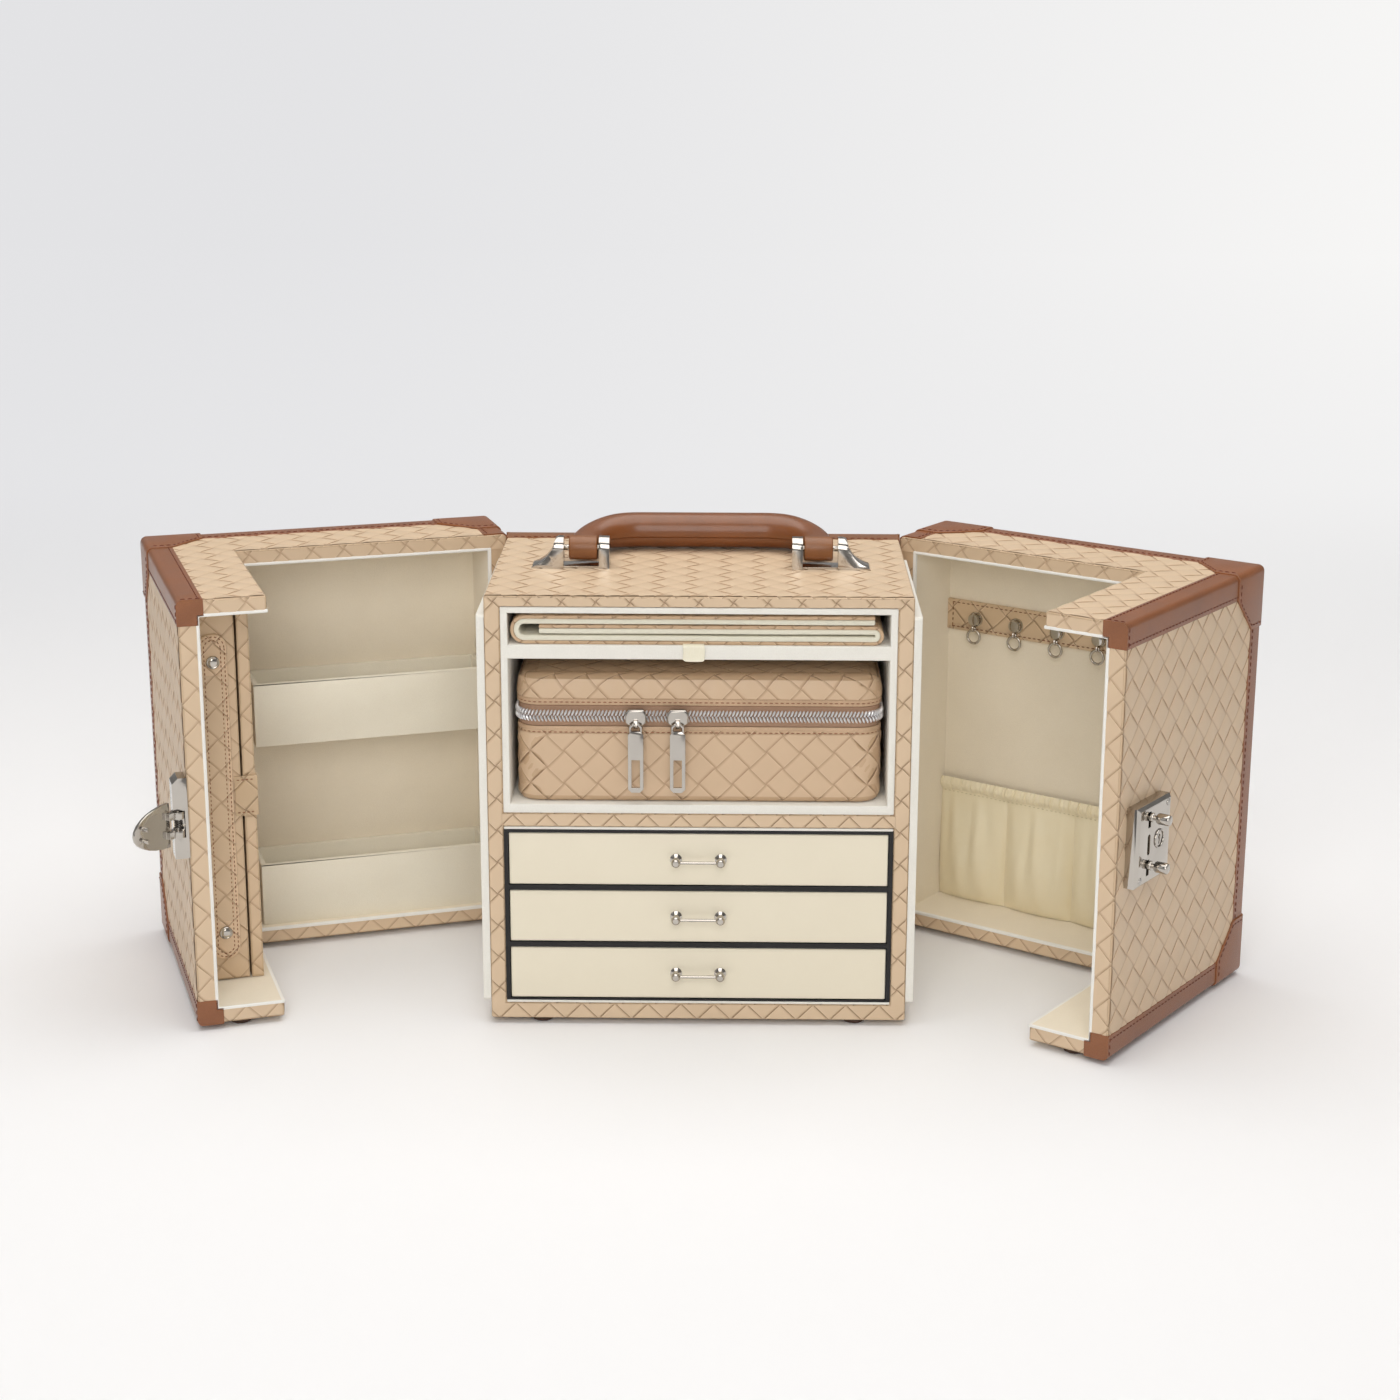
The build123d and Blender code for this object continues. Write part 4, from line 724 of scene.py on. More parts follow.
# The drawers
# Three card drawers in smooth cream leathercloth, each with a pull of two turned nickel posts and
# a thin bar between their heads.
cream_board = grained("cream_board", (1400, 5), (239, 229, 206), (245, 236, 214), (0.40, 0.15),
                      0.00003, cloud=(30, 2, 0.6))


def turned(profile, steps=32):
    """A piece turned about Z, from its profile of radius and height in millimetres."""
    thing = meshed("turned", [(radius / 1000, 0, height / 1000) for radius, height in profile], [],
                   [(n, n + 1) for n in range(len(profile) - 1)])
    bpy.ops.object.mode_set(mode="EDIT")
    bpy.ops.mesh.select_all(action="SELECT")
    bpy.ops.mesh.spin(steps=steps, angle=2 * pi, center=(0, 0, 0), axis=(0, 0, 1))
    bpy.ops.object.mode_set(mode="OBJECT")
    return thing


def aimed(thing, place, way):
    """Stands a piece with its Z axis along a way, its foot at a place in millimetres."""
    turn = Vector(way).to_track_quat("Z", "Y").to_matrix().to_4x4()
    thing.data.transform(Matrix.Translation(Vector(place) / 1000) @ turn)
    return thing


post_profile = ((0, 0), (3.15, 0), (3.15, 0.5), (2.5, 0.9), (1.6, 1.3), (1.3, 1.9), (1.3, 3.2),
                (1.6, 3.8), (2.2, 4.3), (2.5, 5.1), (2.5, 6.2), (2.2, 7.1), (1.5, 7.8), (0, 8.0))
post_x = 11.7
for number, pull_height in ((1, 89.75), (2, 57.95), (3, 26.15)):
    dressed(0.0007, cream_board, f"drawer_{number}")
    posts = [aimed(turned(post_profile), (x, -75.5, pull_height), (0, -1, 0))
             for x in (-post_x, post_x)]
    bar_profile = ((0, 0), (0.8, 0), (0.8, 2 * post_x), (0, 2 * post_x))
    bar = aimed(turned(bar_profile, 20), (-post_x, -81.1, pull_height), (1, 0, 0))
    kept(settled(joined([*posts, bar])), f"drawer_pull_{number}_turned", f"drawer_{number}",
         "nickel", nickel, f"drawer_pull_{number}")

# The folded mat
# A soft jewellery mat in its slot: woven leather outside and cream felt inside, folded in three
# like a letter, with a cream satin ribbon under it that hangs over the shelf's edge.
def half_turn(x, start, end, side, count):
    """The points of a half circle between two heights, bowed to the left (-1) or the right (1)."""
    middle, radius = (start + end) / 2, (start - end) / 2
    angles = [pi * n / count for n in range(count + 1)]
    return [(x + side * abs(radius) * sin(angle), middle + radius * cos(angle)) for angle in angles]


def letter_fold(top, bottom, middle):
    """The line of one layer, from the right end of the top flap to the left end of the inner one."""
    left_turn, right_turn, flap_end, top_end, steps = -89.2, 89.6, -82.0, 90.0, 60
    line = [(top_end - (top_end - left_turn) * n / steps, top) for n in range(steps)]
    line += half_turn(left_turn, top, bottom, -1, 14)
    line += [(left_turn + (right_turn - left_turn) * n / steps, bottom) for n in range(1, steps)]
    line += half_turn(right_turn, bottom, middle, 1, 12)
    line += [(right_turn - (right_turn - flap_end) * n / steps, middle) for n in range(1, steps + 1)]
    return line


def folded_layer(name, line, thickness, wave):
    """A layer of the mat: a strip as long as its line and as wide as the mat is deep."""
    deep = 24
    corners = []
    for x, z in line:
        for row in range(deep + 1):
            y = -74.0 + 134.0 * row / deep
            lift = wave * sin(x * 0.043 + 1.3 * (z > 212)) * sin(x * 0.021 + y * 0.03 + z)
            corners.append((x / 1000, y / 1000, (z + lift) / 1000))
    layer = changed(meshed(name, corners, grid(len(line), deep + 1)), "SOLIDIFY",
                    thickness=thickness / 1000, offset=0)
    return changed(layer, "BEVEL", width=thickness / 1000 * 0.3, segments=3, limit_method="ANGLE",
                   angle_limit=radians(60))


def line_length(line):
    return sum(hypot(b[0] - a[0], b[1] - a[1]) for a, b in zip(line, line[1:])) / 1000


cover_line = letter_fold(219.6, 206.2, 214.6)
mat_cover = kept(settled(folded_layer("mat_leather", cover_line, 1.7, 0.12)), "mat_leather", "mat",
                 "woven_leather", weave("mat_woven_leather", tint=(208, 176, 142)), "mat_cover")
line_length(cover_line)
lining_line = letter_fold(217.3, 208.5, 212.3)
mat_felt = kept(settled(folded_layer("mat_felt", lining_line, 2.8, 0.12)), "mat_felt", "mat",
                "cream_felt", felt("mat_cream_felt", (238, 232, 214)), "mat_lining")

cream_satin = grained("cream_satin", (500, 3, (14.0, 1.0, 1.0)), (236, 228, 200), (250, 245, 226),
                      (0.28, 0.16), 0.00005, 0.4, sheen_weight=0.4, sheen_roughness=0.3)
ribbon_line = [(-71.0, 205.8), (-74.5, 205.8), (-76.2, 205.7), (-76.8, 205.2), (-77.0, 204.2),
               (-77.1, 202.0), (-77.3, 199.4), (-77.8, 197.4)]
ribbon_threads = (-8.0, -4.4, -0.7, 3.0)
ribbon = meshed("ribbon", [((x + 0.25 * sin(z)) / 1000, y / 1000, z / 1000) for y, z in ribbon_line
                           for x in ribbon_threads], grid(len(ribbon_line), len(ribbon_threads)))
changed(ribbon, "SUBSURF", levels=2, render_levels=2)
changed(ribbon, "SOLIDIFY", thickness=0.0004, offset=0)
kept(settled(ribbon), "mat_ribbon", "mat", "cream_satin", cream_satin)
line_length(ribbon_line)

# The zipped travel case
# A round-cornered case of woven leather over board: a deep base and a shallow lid, joined all
# round by a zip on tan tape. Both rims are turned in and stitched, and the lid's edge is piped.
case_half, case_low_y, case_high_y, case_corner = 94.5, -71.5, 60.5, 12.0


def case_line(inset, run):
    """A point round the case, from its front's middle to the right, and the outward way there."""
    half, low, high = case_half - inset, case_low_y + inset, case_high_y - inset
    corner = case_corner - inset
    straight = half - corner
    bend = pi / 2 * corner
    flank = high - low - 2 * corner
    for start, way, length, turned_by in (
            ((0, low), (1, 0), straight, 0), ((straight, low + corner), None, bend, 0),
            ((half, low + corner), (0, 1), flank, 1), ((straight, high - corner), None, bend, 1),
            ((straight, high), (-1, 0), 2 * straight, 2), ((-straight, high - corner), None, bend, 2),
            ((-half, high - corner), (0, -1), flank, 3), ((-straight, low + corner), None, bend, 3),
            ((-straight, low), (1, 0), straight, 4)):
        if run <= length or start == (-straight, low):
            angle = -pi / 2 + turned_by * pi / 2
            if way:
                spot = (start[0] + way[0] * run, start[1] + way[1] * run, 0)
            else:
                angle += run / corner
                spot = (start[0] + corner * cos(angle), start[1] + corner * sin(angle), 0)
            return Vector(spot), Vector((cos(angle), sin(angle), 0))
        run -= length


def case_round(inset):
    """The whole way round the case at an inset."""
    corner = case_corner - inset
    return (4 * (case_half - inset - corner) + 2 * (case_high_y - case_low_y - 2 * inset - 2 * corner)
            + 2 * pi * corner)


def case_ring(levels, steps=300):
    """A shell round the case: each level is an inset and a height; its UV runs round and up."""
    corners, faces, marks = [], [], []
    rise = 0.0
    for number, (inset, height) in enumerate(levels):
        if number:
            rise += hypot(inset - levels[number - 1][0], height - levels[number - 1][1])
        for step in range(steps):
            spot = case_line(inset, case_round(inset) * step / steps)[0]
            corners.append((spot.x / 1000, spot.y / 1000, height / 1000))
        marks.append(rise)
    for number in range(len(levels) - 1):
        for step in range(steps):
            after = (step + 1) % steps
            faces.append((number * steps + step, number * steps + after,
                          (number + 1) * steps + after, (number + 1) * steps + step))
    faces.append(tuple(reversed(range(steps))))
    faces.append(tuple(range((len(levels) - 1) * steps, len(levels) * steps)))
    ring = meshed("case_ring", corners, faces)
    mesh = ring.data
    around = mesh.uv_layers.new(name="around")
    for face in mesh.polygons:
        for loop in face.loop_indices:
            vert = mesh.loops[loop].vertex_index
            level, step = divmod(vert, steps)
            if len(face.vertices) > 4:
                spot = mesh.vertices[vert].co
                around.data[loop].uv = (spot.x, spot.y)
                continue
            if face.index % steps >= steps // 2:
                step = step - steps if step else 0
            around.data[loop].uv = (case_round(0) * step / steps / 1000, marks[level] / 1000)
    return ring


def around_place(finish):
    """Two wires that run along a piece's own UV, in metres."""
    return finish.split(finish.wire("UVMap", {"uv_map": "around"}))[:2]


base_low, base_high = 120.15, 160.95
tape_high, lid_high = 171.95, 187.55
case_tan = (206, 174, 140)
case_weave = weave("case_woven_leather", tint=case_tan, place=around_place, shift=(0.0, 0.006))
base_shell = case_ring([(3.0, base_low), (1.5, base_low + 0.3), (0.5, base_low + 1.2),
                        (0.0, base_low + 2.8), (0.0, base_high - 2.2), (0.35, base_high - 0.7),
                        (1.3, base_high), (3.0, base_high)])
kept(settled(base_shell), "case_base_leather", "zip_case", "woven_leather", case_weave, "case_base")
lid_shell = case_ring([(3.0, tape_high), (1.1, tape_high), (0.3, tape_high + 0.6),
                       (0.0, tape_high + 1.8), (0.0, tape_high + 5.4), (0.25, lid_high - 6.6),
                       (0.8, lid_high - 4.0), (2.0, lid_high - 1.9), (3.8, lid_high - 0.6),
                       (6.5, lid_high - 0.05), (9.0, lid_high)])
kept(settled(lid_shell), "case_lid_leather", "zip_case", "woven_leather", case_weave, "case_lid")


def case_wall(*levels):
    """Where a panel's point lies round the case, between levels of rise, inset and height."""
    def place(across, up, height):
        for (rise, inset, level), (next_rise, next_inset, next_level) in zip(levels, levels[1:]):
            if up <= next_rise or next_rise == levels[-1][0]:
                share = (up - rise) / (next_rise - rise)
                inset = inset + (next_inset - inset) * share
                level = level + (next_level - level) * share
                break
        whole = case_round(inset)
        spot, outward = case_line(inset, (across / case_round(0) * whole) % whole)
        spot = spot + outward * (height + 0.1 + 0.3 * (inset > 0.1))
        return spot.x, spot.y, level + (height * 0.4 + 0.2) * (inset > 0.4)
    return place


half_round = (-case_round(0) / 2, case_round(0) / 2)
base_wall = case_wall((4.55, 0.0, 122.95), (40.35, 0.0, 158.75))
lid_wall = case_wall((3.9, 0.0, 173.75), (7.5, 0.0, 177.35), (11.1, 0.25, 180.95),
                     (13.76, 0.8, 183.55), (16.18, 2.0, 185.65))
woven("case_straps", "zip_case", carved_weave("case_straps", case_tan),
      [(across, up, place, 0.42, 12.4, (0.0, 6.0)) for across, up, place in (
          (half_round, (5.0, 38.6), base_wall), (half_round, (6.4, 16.0), lid_wall),
          ((-84, 84), (-61, 50), flat_side(2, 187.5, 1)))])
smooth_tan = leather("smooth_tan_leather", case_tan, 0.42, 1400, 0.08)
lid_band = case_ring([(0.3, tape_high + 0.2), (-0.3, tape_high + 0.7), (-0.35, tape_high + 3.3),
                      (0.1, tape_high + 3.9), (0.5, tape_high + 3.9)])
base_band = case_ring([(0.5, base_high - 2.4), (-0.15, base_high - 2.2), (-0.3, base_high - 1.3),
                       (0.2, base_high - 0.1), (1.0, base_high - 0.1)])
kept(settled(joined([lid_band, base_band])), "case_rim_bands", "zip_case", "brown_leather", smooth_tan)
case_rows = []
for height, inset in ((base_high - 3.2, 0.0), (tape_high + 2.0, -0.35)):
    line = [case_line(inset, case_round(inset) * step / 300)[0] for step in range(301)]
    case_rows.append(([spot + Vector((0, 0, height)) for spot in line], (0, -1, 0)))
kept(stitches(case_rows, Matrix(), 1.9, 0.9, 0.55), "case_thread", "zip_case", "brown_leather",
     sewing("dark_tan_thread", (158, 104, 74)))

# The zip
# Two rows of silver coil teeth on tan tape, running all round the case, closed by two sliders.
dressed(0.0004, grained("zip_tape", (2400, 4, (0.2, 0.2, 1.0)), (150, 116, 92), (186, 152, 126),
                        (0.8, 0.0), 0.0002, 0.8), "case_zip_tapes")
tooth = basic("uv_sphere", segments=8, ring_count=6, radius=0.5)
tooth.data.transform(Matrix.Diagonal((0.0013, 0.0024, 0.0037, 1)))
tooth_places = []
tooth_count, chain_inset, tooth_lean = 330, -0.3, 0.42
for number in range(tooth_count * 2):
    upper = number % 2
    run = case_round(chain_inset) * (number // 2 + 0.5 * upper) / tooth_count
    spot, outward = case_line(chain_inset, run)
    way = Vector((-outward.y, outward.x, 0))
    rise = (Vector((0, 0, 1)) + way * (tooth_lean if upper else -tooth_lean)).normalized()
    axes = Matrix((rise.cross(outward), outward, rise)).transposed().to_4x4()
    height = 168.2 if upper else 165.1
    tooth_places.append(Matrix.Translation((spot + Vector((0, 0, height))) / 1000) @ axes)
kept(settled(many("zip_teeth", tooth, tooth_places)), "zip_teeth", "zip_case", "nickel",
     metal("silver_zip", (250, 250, 252), 0.24, share=0.75), "case_zip_chain")
dressed(0.00035, nickel, "zip_slider_left", "zip_slider_right", "zip_pull_left", "zip_pull_right")

# The wings
# Two hinged covers of board in the same woven leather, lined in cream wool felt. Each swings on
# the leather at its back, and each shell's boards have woven lips that close over the drawers.
wing_outer, wing_front, wing_back, wing_floor, wing_top = 160.5, -122.1, 75.4, 0.6, 230.4
dressed(0.0003, felt("tray_felt", (250, 241, 224)), "tray_upper", "tray_lower", segments=2)


def spanned(side, low, high):
    """A span across a wing, mirrored where the wing is the left one."""
    return tuple(sorted((side * low, side * high)))


for wing, side in hinge_side.items():
    dressed(0.0010, weave(f"{wing}_wing_woven_leather", wing), f"{wing}_wing_shell")
    dressed(0.0006, felt(f"{wing}_lining_felt", (248, 236, 216), wing), f"{wing}_wing_lining")
    wall_span, inner_lift = (13.3, 217.7), 0.35
    panels = [(spanned(side, 1.8, 147.8), wall_span, flat_side(1, wing_front, -1)),
              ((-109.4, 62.7), wall_span, flat_side(0, side * wing_outer, side)),
              (spanned(side, 124.3, 147.8), wall_span, flat_side(1, wing_back, 1)),
              ((-121.2, -111.9), wall_span, flat_side(0, side * 0.9, -side), inner_lift)]
    for level, outward, rim_span in ((wing_top, 1, (222.4, 229.5)), (wing_floor, -1, (1.5, 8.6))):
        outside = flat_side(2, level, outward)
        panels += [(spanned(side, 1.8, 147.8), (-109.4, -78.0), outside),
                   (spanned(side, 112.0, 147.8), (-78.0, 62.7), outside),
                   (spanned(side, 1.8, 111.0), rim_span, flat_side(1, -77.06, 1), inner_lift),
                   ((-77.0, 74.5), rim_span, flat_side(0, side * 111.0, -side), inner_lift),
                   ((-108.9, -78.0), rim_span, flat_side(0, side * 0.9, -side), inner_lift)]
    woven(f"{wing}_wing_straps", f"{wing}_wing", carved_weave(f"{wing}_wing_straps"), panels,
          swung(wing))

# The wings' leather edging
# Strips of brown calf folded over every outer edge of the wings and sewn down along both borders,
# with a rounded fold that stands a little proud of the woven boards.
fold = [(13.0, -0.45), (12.75, -0.7), (12.2, -0.75)]
fold_centre, fold_radius = 2.45, 3.2
fold += [(fold_centre - fold_radius * sin(n * pi / 12), fold_centre - fold_radius * cos(n * pi / 12))
         for n in range(7)]
fold += [(-0.75, 12.2), (-0.7, 12.75), (-0.45, 13.0), (8.2, 13.0), (8.2, 10.2), (13.0, 10.2)]


def strip(corner, inward, inward_too, run):
    """A folded strip along an edge, from its outer corner, the two inward ways and its run."""
    thing = meshed("strip", [(corner + inward * u + inward_too * v) / 1000 for u, v in fold],
                   [tuple(range(len(fold)))])
    bpy.ops.object.mode_set(mode="EDIT")
    bpy.ops.mesh.select_all(action="SELECT")
    bpy.ops.mesh.extrude_region_move(TRANSFORM_OT_translate={"value": run / 1000})
    bpy.ops.object.mode_set(mode="OBJECT")
    return thing


sewn_line, strip_proud = 10.6, 0.75
for wing, side in hinge_side.items():
    wing_calf = leather(f"{wing}_wing_calf", (146, 90, 52), 0.3, 900, 0.25)
    turn = swung(wing) @ Matrix.Diagonal((side, 1, 1, 1))
    edging, rows, runs = [], [], []
    for height, down in ((wing_top, -1), (wing_floor, 1)):
        runs += [((0.3, wing_front, height), (0, 0, down), (0, 1, 0), (136, 0, 0)),
                 ((wing_outer, -100, height), (0, 0, down), (-1, 0, 0), (0, 155, 0)),
                 ((111.6, wing_back, height), (0, 0, down), (0, -1, 0), (25, 0, 0))]
    for depth, inward in ((wing_front, 1), (wing_back, -1)):
        runs.append(((wing_outer, depth, 24), (-1, 0, 0), (0, inward, 0), (0, 0, 183)))
    for parts in runs:
        corner, inward, inward_too, run = [Vector(part) for part in parts]
        edging.append(strip(corner, inward, inward_too, run))
        short = run.normalized() * 1.6
        for flat, away in ((inward, inward_too), (inward_too, inward)):
            start = corner + flat * sewn_line - away * strip_proud
            rows.append(([start + short, start + run - short], -away))
    for height, down in ((wing_top, -1), (wing_floor, 1)):
        front_y, rim_z = wing_front - strip_proud, height - down * strip_proud
        rows.append(([(1.9, front_y, height + down * 1.8), (1.9, front_y, height + down * 11.4)],
                     (0, -1, 0)))
        rows.append(([(1.9, wing_front + 1.8, rim_z), (1.9, wing_front + 11.4, rim_z)], (0, 0, -down)))
    leaf_y = wing_back + strip_proud
    edging.append(block((111.5, wing_back - 0.8, 1.2), (124.5, leaf_y, 229.8), 0.35, 2))
    rows.append(([(122.6, leaf_y, 4), (122.6, leaf_y, 226)], (0, 1, 0)))
    kept(settled(joined(edging), turn), f"{wing}_wing_edging", f"{wing}_wing", "brown_leather",
         wing_calf, f"{wing}_wing_trim")

    # The corner caps
    # A cap of thicker calf moulded over each outer corner, its edge turned under and sewn down.
    caps = []
    for depth, back in ((wing_front, 1), (wing_back, -1)):
        for height, down in ((wing_top, -1), (wing_floor, 1)):
            cap = block((-1.5, -1.5, -1.5), (32, 32, 32))
            bpy.ops.object.mode_set(mode="EDIT")
            bpy.ops.mesh.select_mode(type="FACE")
            pick(cap, "faces", lambda face, middle: max(middle) > 0.0319)
            bpy.ops.mesh.delete(type="FACE")
            bpy.ops.mesh.select_all(action="SELECT")
            bpy.ops.mesh.bisect(plane_co=(0.0145, 0.0145, 0.0145), plane_no=(1, 1, 1),
                                clear_outer=True)
            bpy.ops.mesh.select_mode(type="EDGE")
            pick(cap, "edges", lambda edge, middle: all(
                sum(way < -0.00149 for way in vert.co) >= 2 for vert in edge.verts))
            bpy.ops.mesh.bevel(offset=0.0036, segments=6)
            bpy.ops.mesh.select_all(action="SELECT")
            bpy.ops.mesh.normals_make_consistent(inside=False)
            bpy.ops.object.mode_set(mode="OBJECT")
            middle_normal = sum((face.normal * face.area for face in cap.data.polygons), Vector())
            outwards = middle_normal.dot(Vector((1, 1, 1))) < 0
            changed(cap, "SOLIDIFY", thickness=0.0014, offset=-1 if outwards else 1)
            changed(cap, "BEVEL", width=0.00045, segments=3, angle_limit=radians(50))
            place = Matrix(((-1, 0, 0, wing_outer / 1000), (0, back, 0, depth / 1000),
                            (0, 0, down, height / 1000), (0, 0, 0, 1)))
            cap.data.transform(place)
            caps.append(cap)
            for flat in range(3):
                line = []
                for first, second in ((29.6, 2.4), (29.6, 13.8), (13.8, 29.6), (2.4, 29.6)):
                    spot = [(first, second, -1.5)[(way - flat) % 3] for way in range(3)]
                    line.append(place @ (Vector(spot) / 1000) * 1000)
                outward = Vector((0, 0, 0))
                outward[(2 + flat) % 3] = -1
                rows.append((line, place.to_3x3() @ outward))
    kept(settled(joined(caps), turn), f"{wing}_wing_caps", f"{wing}_wing", "brown_leather", wing_calf,
         f"{wing}_wing_corners")
    kept(stitches(rows, turn), f"{wing}_wing_thread", f"{wing}_wing", "brown_leather", thread)

# The folder in the left wing
# A slim woven case that stands on end in the wing, held shut by a tab, with a long stitched strap
# and a domed snap at each end of it.
dressed(0.0007, weave("left_wing_inner_leather", "left", tint=(206, 178, 144)), "folder_tray",
        "folder_cover")
left_turn = swung("left") @ Matrix.Diagonal((-1, 1, 1, 1))
strap = block((36.2, -109.3, 22.2), (38.3, -93.8, 203.4), 7.2, 10,
              lambda edge, middle: abs(edge.verts[0].co.x - edge.verts[1].co.x) > 0.001)
changed(strap, "BEVEL", width=0.0008, segments=3, angle_limit=radians(50))
kept(settled(strap, left_turn), "folder_strap_leather", "folder", "woven_leather",
     weave("strap_leather", "left", tint=(228, 198, 165), shift=(0.004, 0.003)), "folder_strap")
folder_straps = carved_weave("folder_straps", (206, 176, 142))
folder_face = flat_side(0, -38.0, 1)
woven("folder_straps", "folder", folder_straps,
      [((-110.0, -90.2), (11.0, 214.6), folder_face, 0.4),
       ((-107.0, -96.1), (44.0, 181.0), flat_side(0, -36.2, 1), 0.25, 12.4, (4.0, 3.0))],
      swung("left"))
woven("folder_cover_straps", "folder_cover", folder_straps,
      [((-87.4, -82.7), up, folder_face, 0.3) for up in ((11.0, 101.0), (126.0, 214.6))],
      swung("left"))
strap_rows = []
for inset in (1.4, 3.4):
    reach, half, centre_y = 90.6 - inset, 7.75 - inset, -101.55
    line = []
    for end, start in ((1, 0), (-1, pi)):
        for n in range(13):
            turn_by = start + pi * n / 12
            line.append((36.2, centre_y + half * cos(turn_by),
                         112.8 + end * (reach - half) + half * sin(turn_by)))
    line.append(line[0])
    strap_rows.append((line, (-1, 0, 0)))
kept(stitches(strap_rows, left_turn, 1.5, 0.9, 0.6), "folder_strap_thread", "folder",
     "brown_leather", sewing("strap_thread", (150, 98, 66)))
snap_profile = ((0, 0), (3.6, 0), (3.6, 0.5), (3.4, 0.85), (2.9, 1.1), (2.6, 1.0), (2.3, 1.25),
                (1.6, 1.5), (0.8, 1.6), (0, 1.62))
snaps = [aimed(turned(snap_profile), (36.2, -101.55, height), (-1, 0, 0))
         for height in (37.4, 188.2)]
kept(settled(joined(snaps), left_turn), "folder_snap_domes", "folder", "nickel", nickel, "folder_snaps")
tab_rows = [([(36.5, -92.0, height), (36.5, -82.0, height)], (-1, 0, 0))
            for height in (104.3, 122.5)]
kept(stitches(tab_rows, left_turn, 1.5, 0.9, 0.6), "folder_tab_thread", "folder_cover",
     "brown_leather", sewing("tab_thread", (150, 98, 66)))

# The hook strip in the right wing
# A strip of woven leather sewn to the lining, with six ball studs that each carry a small ring
# for a necklace.
right_turn = swung("right")
dressed(0.0005, weave("hook_strip_leather", "right", tint=(222, 194, 160)), "hook_strip")
strip_x = 147.9
strip_rows = [([(strip_x, *start), (strip_x, *end)], (-1, 0, 0)) for start, end in (
    ((-108, 173.4), (61, 173.4)), ((-108, 187.6), (61, 187.6)), ((61, 173.4), (61, 187.6)))]
kept(stitches(strip_rows, right_turn, 2.0, 1.1, 0.6), "hook_strip_thread", "right_wing",
     "brown_leather", sewing("strip_thread", (138, 88, 60)))
stud_profile = ((0, 0), (4.3, 0), (4.3, 0.7), (3.9, 1.2), (2.6, 1.3), (2.6, 1.6), (3.5, 2.2),
                (3.7, 3.0), (3.2, 3.8), (2.2, 4.15), (1.0, 4.25), (0, 4.3))


def hoop(radius, thick, place, axis, around, across):
    """A ring of wire, in millimetres, turned a quarter about an axis."""
    thing = basic("torus", major_radius=radius / 1000, minor_radius=thick / 1000,
                  major_segments=around, minor_segments=across)
    thing.data.transform(Matrix.Translation([value / 1000 for value in place])
                         @ Matrix.Rotation(pi / 2, 4, axis))
    return thing


studs = []
first_hook_y, hook_pitch, ring_x = 45.7, 26.4, 145.5
for number in range(6):
    hook_y = first_hook_y - hook_pitch * number
    studs.append(aimed(turned(stud_profile), (strip_x, hook_y, 179.4), (-1, 0, 0)))
    studs.append(hoop(1.6, 0.6, (ring_x, hook_y, 174.5), "X", 20, 8))
    ring = hoop(3.95, 0.75, (ring_x, hook_y, 169.55), "Y", 40, 12)
    kept(settled(ring, right_turn), f"hook_ring_{number + 1}_round", f"hook_ring_{number + 1}",
         "nickel", nickel, f"hook_ring_{number + 1}")
kept(settled(joined(studs), right_turn), "hook_ball_studs", "right_wing", "nickel", nickel, "hook_studs")

# The gathered pocket
# Cream satin-backed cloth gathered on an elastic top band and sewn down in four sections against
# the wing's lining, so it bellies out between the seams.
pocket_low, pocket_waist, pocket_rim = 9.8, 75.6, 82.4
pocket_start, pocket_length, pocket_back, section = -111.1, 175.5, 149.5, 43.975
across_count, up_count = 264, 44
pocket_corners = []
for row in range(up_count + 1):
    share = row / up_count
    height = pocket_low + (pocket_rim - pocket_low) * share
    full = sin(pi * min(1, (height - pocket_low) / (pocket_waist - pocket_low)) ** 0.62)
    band = max(0.0, min(1.0, (height - pocket_waist + 1.5) / 2.0))
    for column in range(across_count + 1):
        y = pocket_start + pocket_length * column / across_count
        number, lie = divmod((y - pocket_start) / section, 1.0)
        belly = sin(pi * lie) ** 0.55
        droop = max((pocket_waist - height) / (pocket_waist - pocket_low), 0)
        crease = (2.6 * sin(lie * 19 + number * 2.1 + 2.6 * droop) * fading(1.7 * droop)
                  + 1.5 * sin(lie * 33 + number * 4.4 + 1.6 * sin(5 * droop)) * fading(3.4 * droop))
        depth = 1.2 + full * (9.0 * belly + crease * belly) + 2.6 * belly * (1 - full)
        gathers = 0.35 * sin(y * 3.1) + 0.25 * sin(y * 5.3 + 1)
        hem = min(1, max(0, (height - pocket_waist) / (pocket_rim - pocket_waist)))
        rolled = 3.0 + 1.9 * sin(pi * hem) + gathers
        depth = max(depth * (1 - band) + rolled * band, 0.8)
        pocket_corners.append(((pocket_back - depth) / 1000, y / 1000, height / 1000))
pocket = changed(meshed("pocket_cloth", pocket_corners, grid(up_count + 1, across_count + 1)),
                 "SOLIDIFY", thickness=0.0007, offset=0)
pocket_satin = grained("pocket_satin", (1800, 4, (1.0, 1.0, 0.3)), (244, 230, 196), (250, 241, 214),
                       (0.5, 0.0), 0.00006, 0.5, (60, 2, 0.7), sheen_weight=0.3, sheen_roughness=0.4)
kept(settled(pocket, right_turn, 50), "pocket_cloth", "right_wing", "cream_satin", pocket_satin,
     "elastic_pocket")
pocket_row = [(pocket_back - 4.6, -108, 74.9), (pocket_back - 4.6, 62, 74.9)]
kept(stitches([(pocket_row, (-1, 0, 0))], right_turn, 1.6, 1.2, 0.5), "pocket_thread", "right_wing",
     "cream_satin", felt("pocket_thread", (222, 210, 174)))

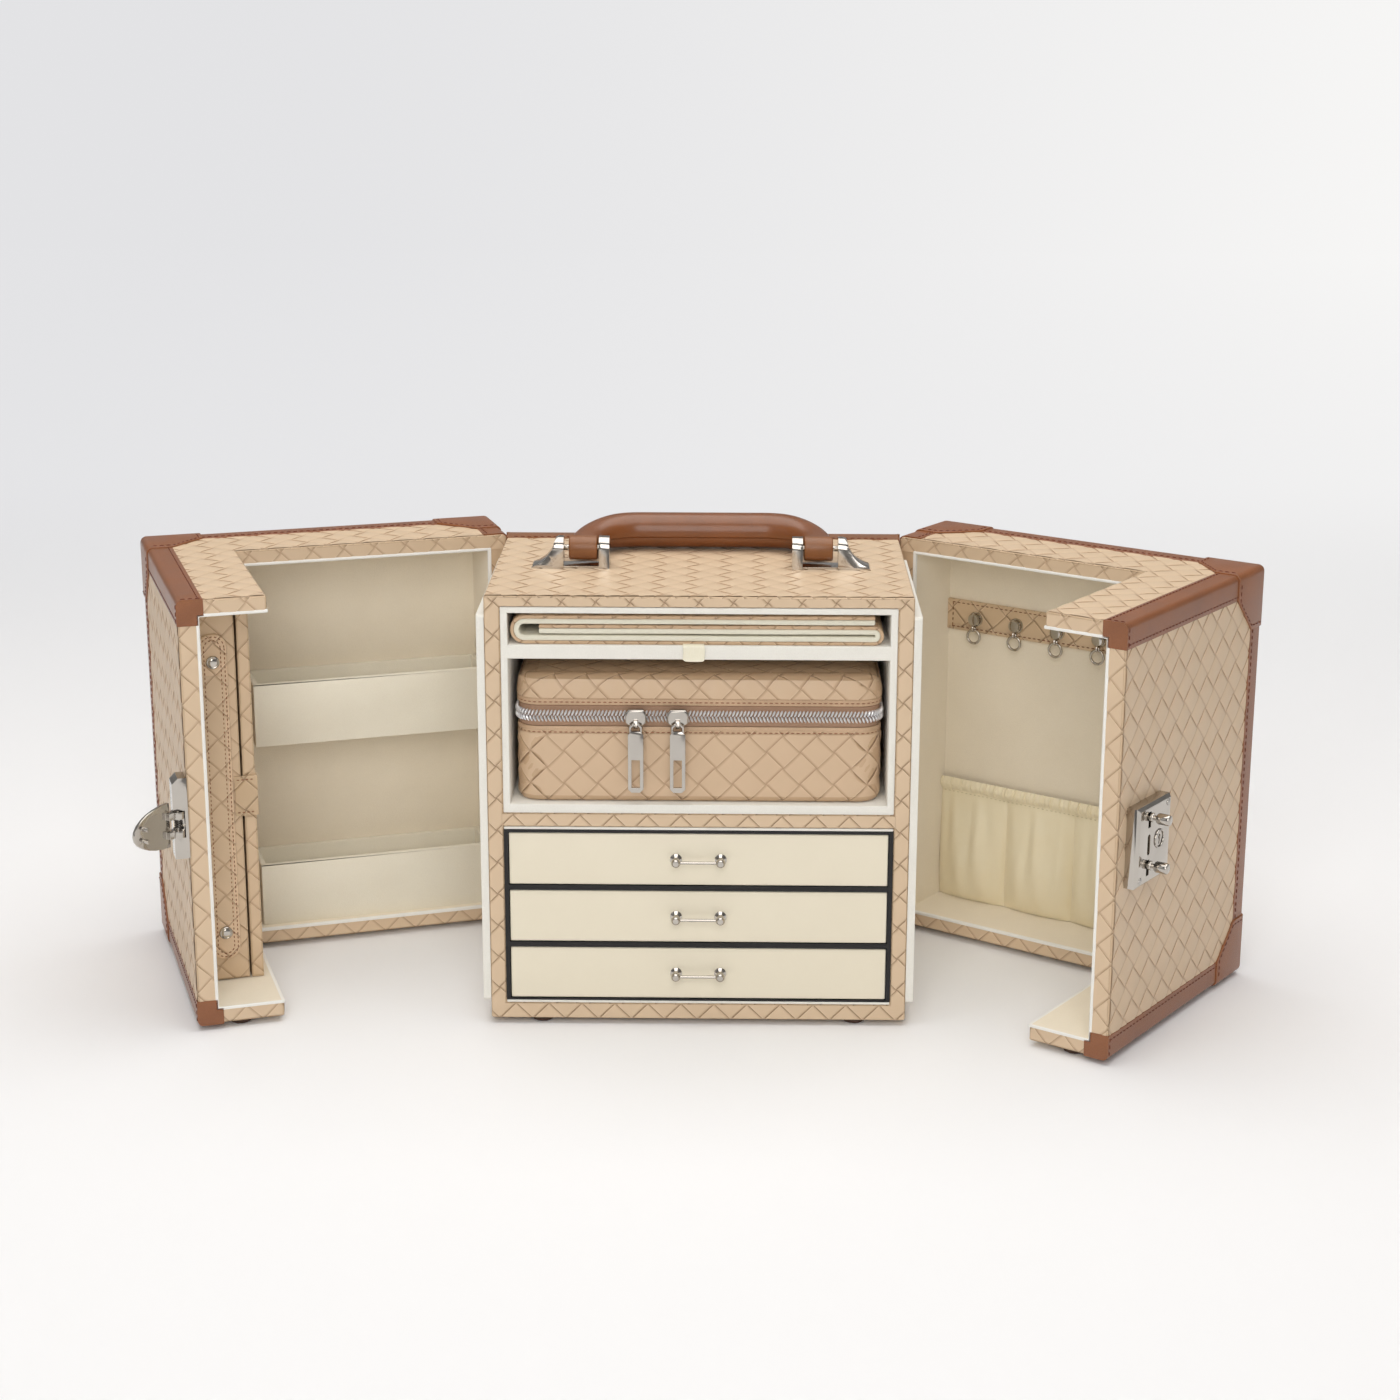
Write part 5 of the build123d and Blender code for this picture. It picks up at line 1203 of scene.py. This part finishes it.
# The lock
# A bevelled nickel plate on the right wing with two sprung knobs in their slots and a keyed
# cylinder between them, held by two countersunk screws.
dressed(0.0005, nickel, "lock_plate", segments=4)
dressed(0.0003, nickel, "lock_cylinder")
lock_face = -129.6
knob_profile = ((0, -4), (1.3, -4), (1.3, 0.4), (2.2, 0.5), (2.4, 0.9), (2.4, 2.0), (2.2, 2.4),
                (1.3, 2.5), (1.3, 4.2), (2.5, 4.4), (2.9, 5.0), (2.9, 10.3), (2.6, 11.1),
                (1.9, 11.45), (0, 11.5))
for knob_name, knob_height in (("lock_knob_upper", 127.6), ("lock_knob_lower", 102.0)):
    knob = aimed(turned(knob_profile, 40), (21.5, lock_face, knob_height), (0, -1, 0))
    kept(settled(knob, right_turn), f"{knob_name}_turned", knob_name, "nickel", nickel, knob_name)
screw_profile = ((0, 0), (1.9, 0), (1.8, 0.25), (1.2, 0.5), (0, 0.6))
screws = [aimed(turned(screw_profile, 24), (x, lock_face, z), (0, -1, 0))
          for x, z in ((42.2, 130.2), (13.4, 95.3))]
kept(settled(joined(screws), right_turn), "lock_screws", "right_wing", "nickel",
     metal("screw_nickel", (190, 186, 180), 0.22))
collar = hoop(4.6, 0.5, (33.3, -129.8, 113.0), "X", 48, 10)
kept(settled(collar, right_turn), "lock_collar", "right_wing", "nickel", nickel)

# The hasp
# A D-shaped nickel plate on two knuckles, which a small coil spring flips open; two domed
# catches on its back go into the lock's slot.
dressed(0.0005, nickel, "hasp_base", segments=4)
dressed(0.0004, nickel, "hasp_plate")
pin_x, pin_y, coil_low = -1.2, -127.2, 110.3
coil_radius, coil_pitch, coil_turns, turn_steps = 2.0, 1.2, 4, 24
coil_points = [(pin_x + coil_radius * cos(2 * pi * n / turn_steps),
                pin_y + coil_radius * sin(2 * pi * n / turn_steps),
                coil_low + coil_pitch * n / turn_steps) for n in range(coil_turns * turn_steps + 1)]
coil = bpy.data.curves.new("coil", "CURVE")
coil.dimensions = "3D"
coil.bevel_depth = 0.0003
coil.bevel_resolution = 3
wire = coil.splines.new("POLY")
wire.points.add(len(coil_points) - 1)
for point, spot in zip(wire.points, coil_points):
    point.co = (spot[0] / 1000, spot[1] / 1000, spot[2] / 1000, 1)
coil_thing = bpy.data.objects.new("coil", coil)
bpy.context.scene.collection.objects.link(coil_thing)
alone(coil_thing)
bpy.ops.object.convert(target="MESH")
kept(settled(bpy.context.object, swung("left")), "hasp_coil_spring", "left_wing", "dark_steel",
     metal("dark_steel", (96, 92, 88), 0.25), "hasp_spring")
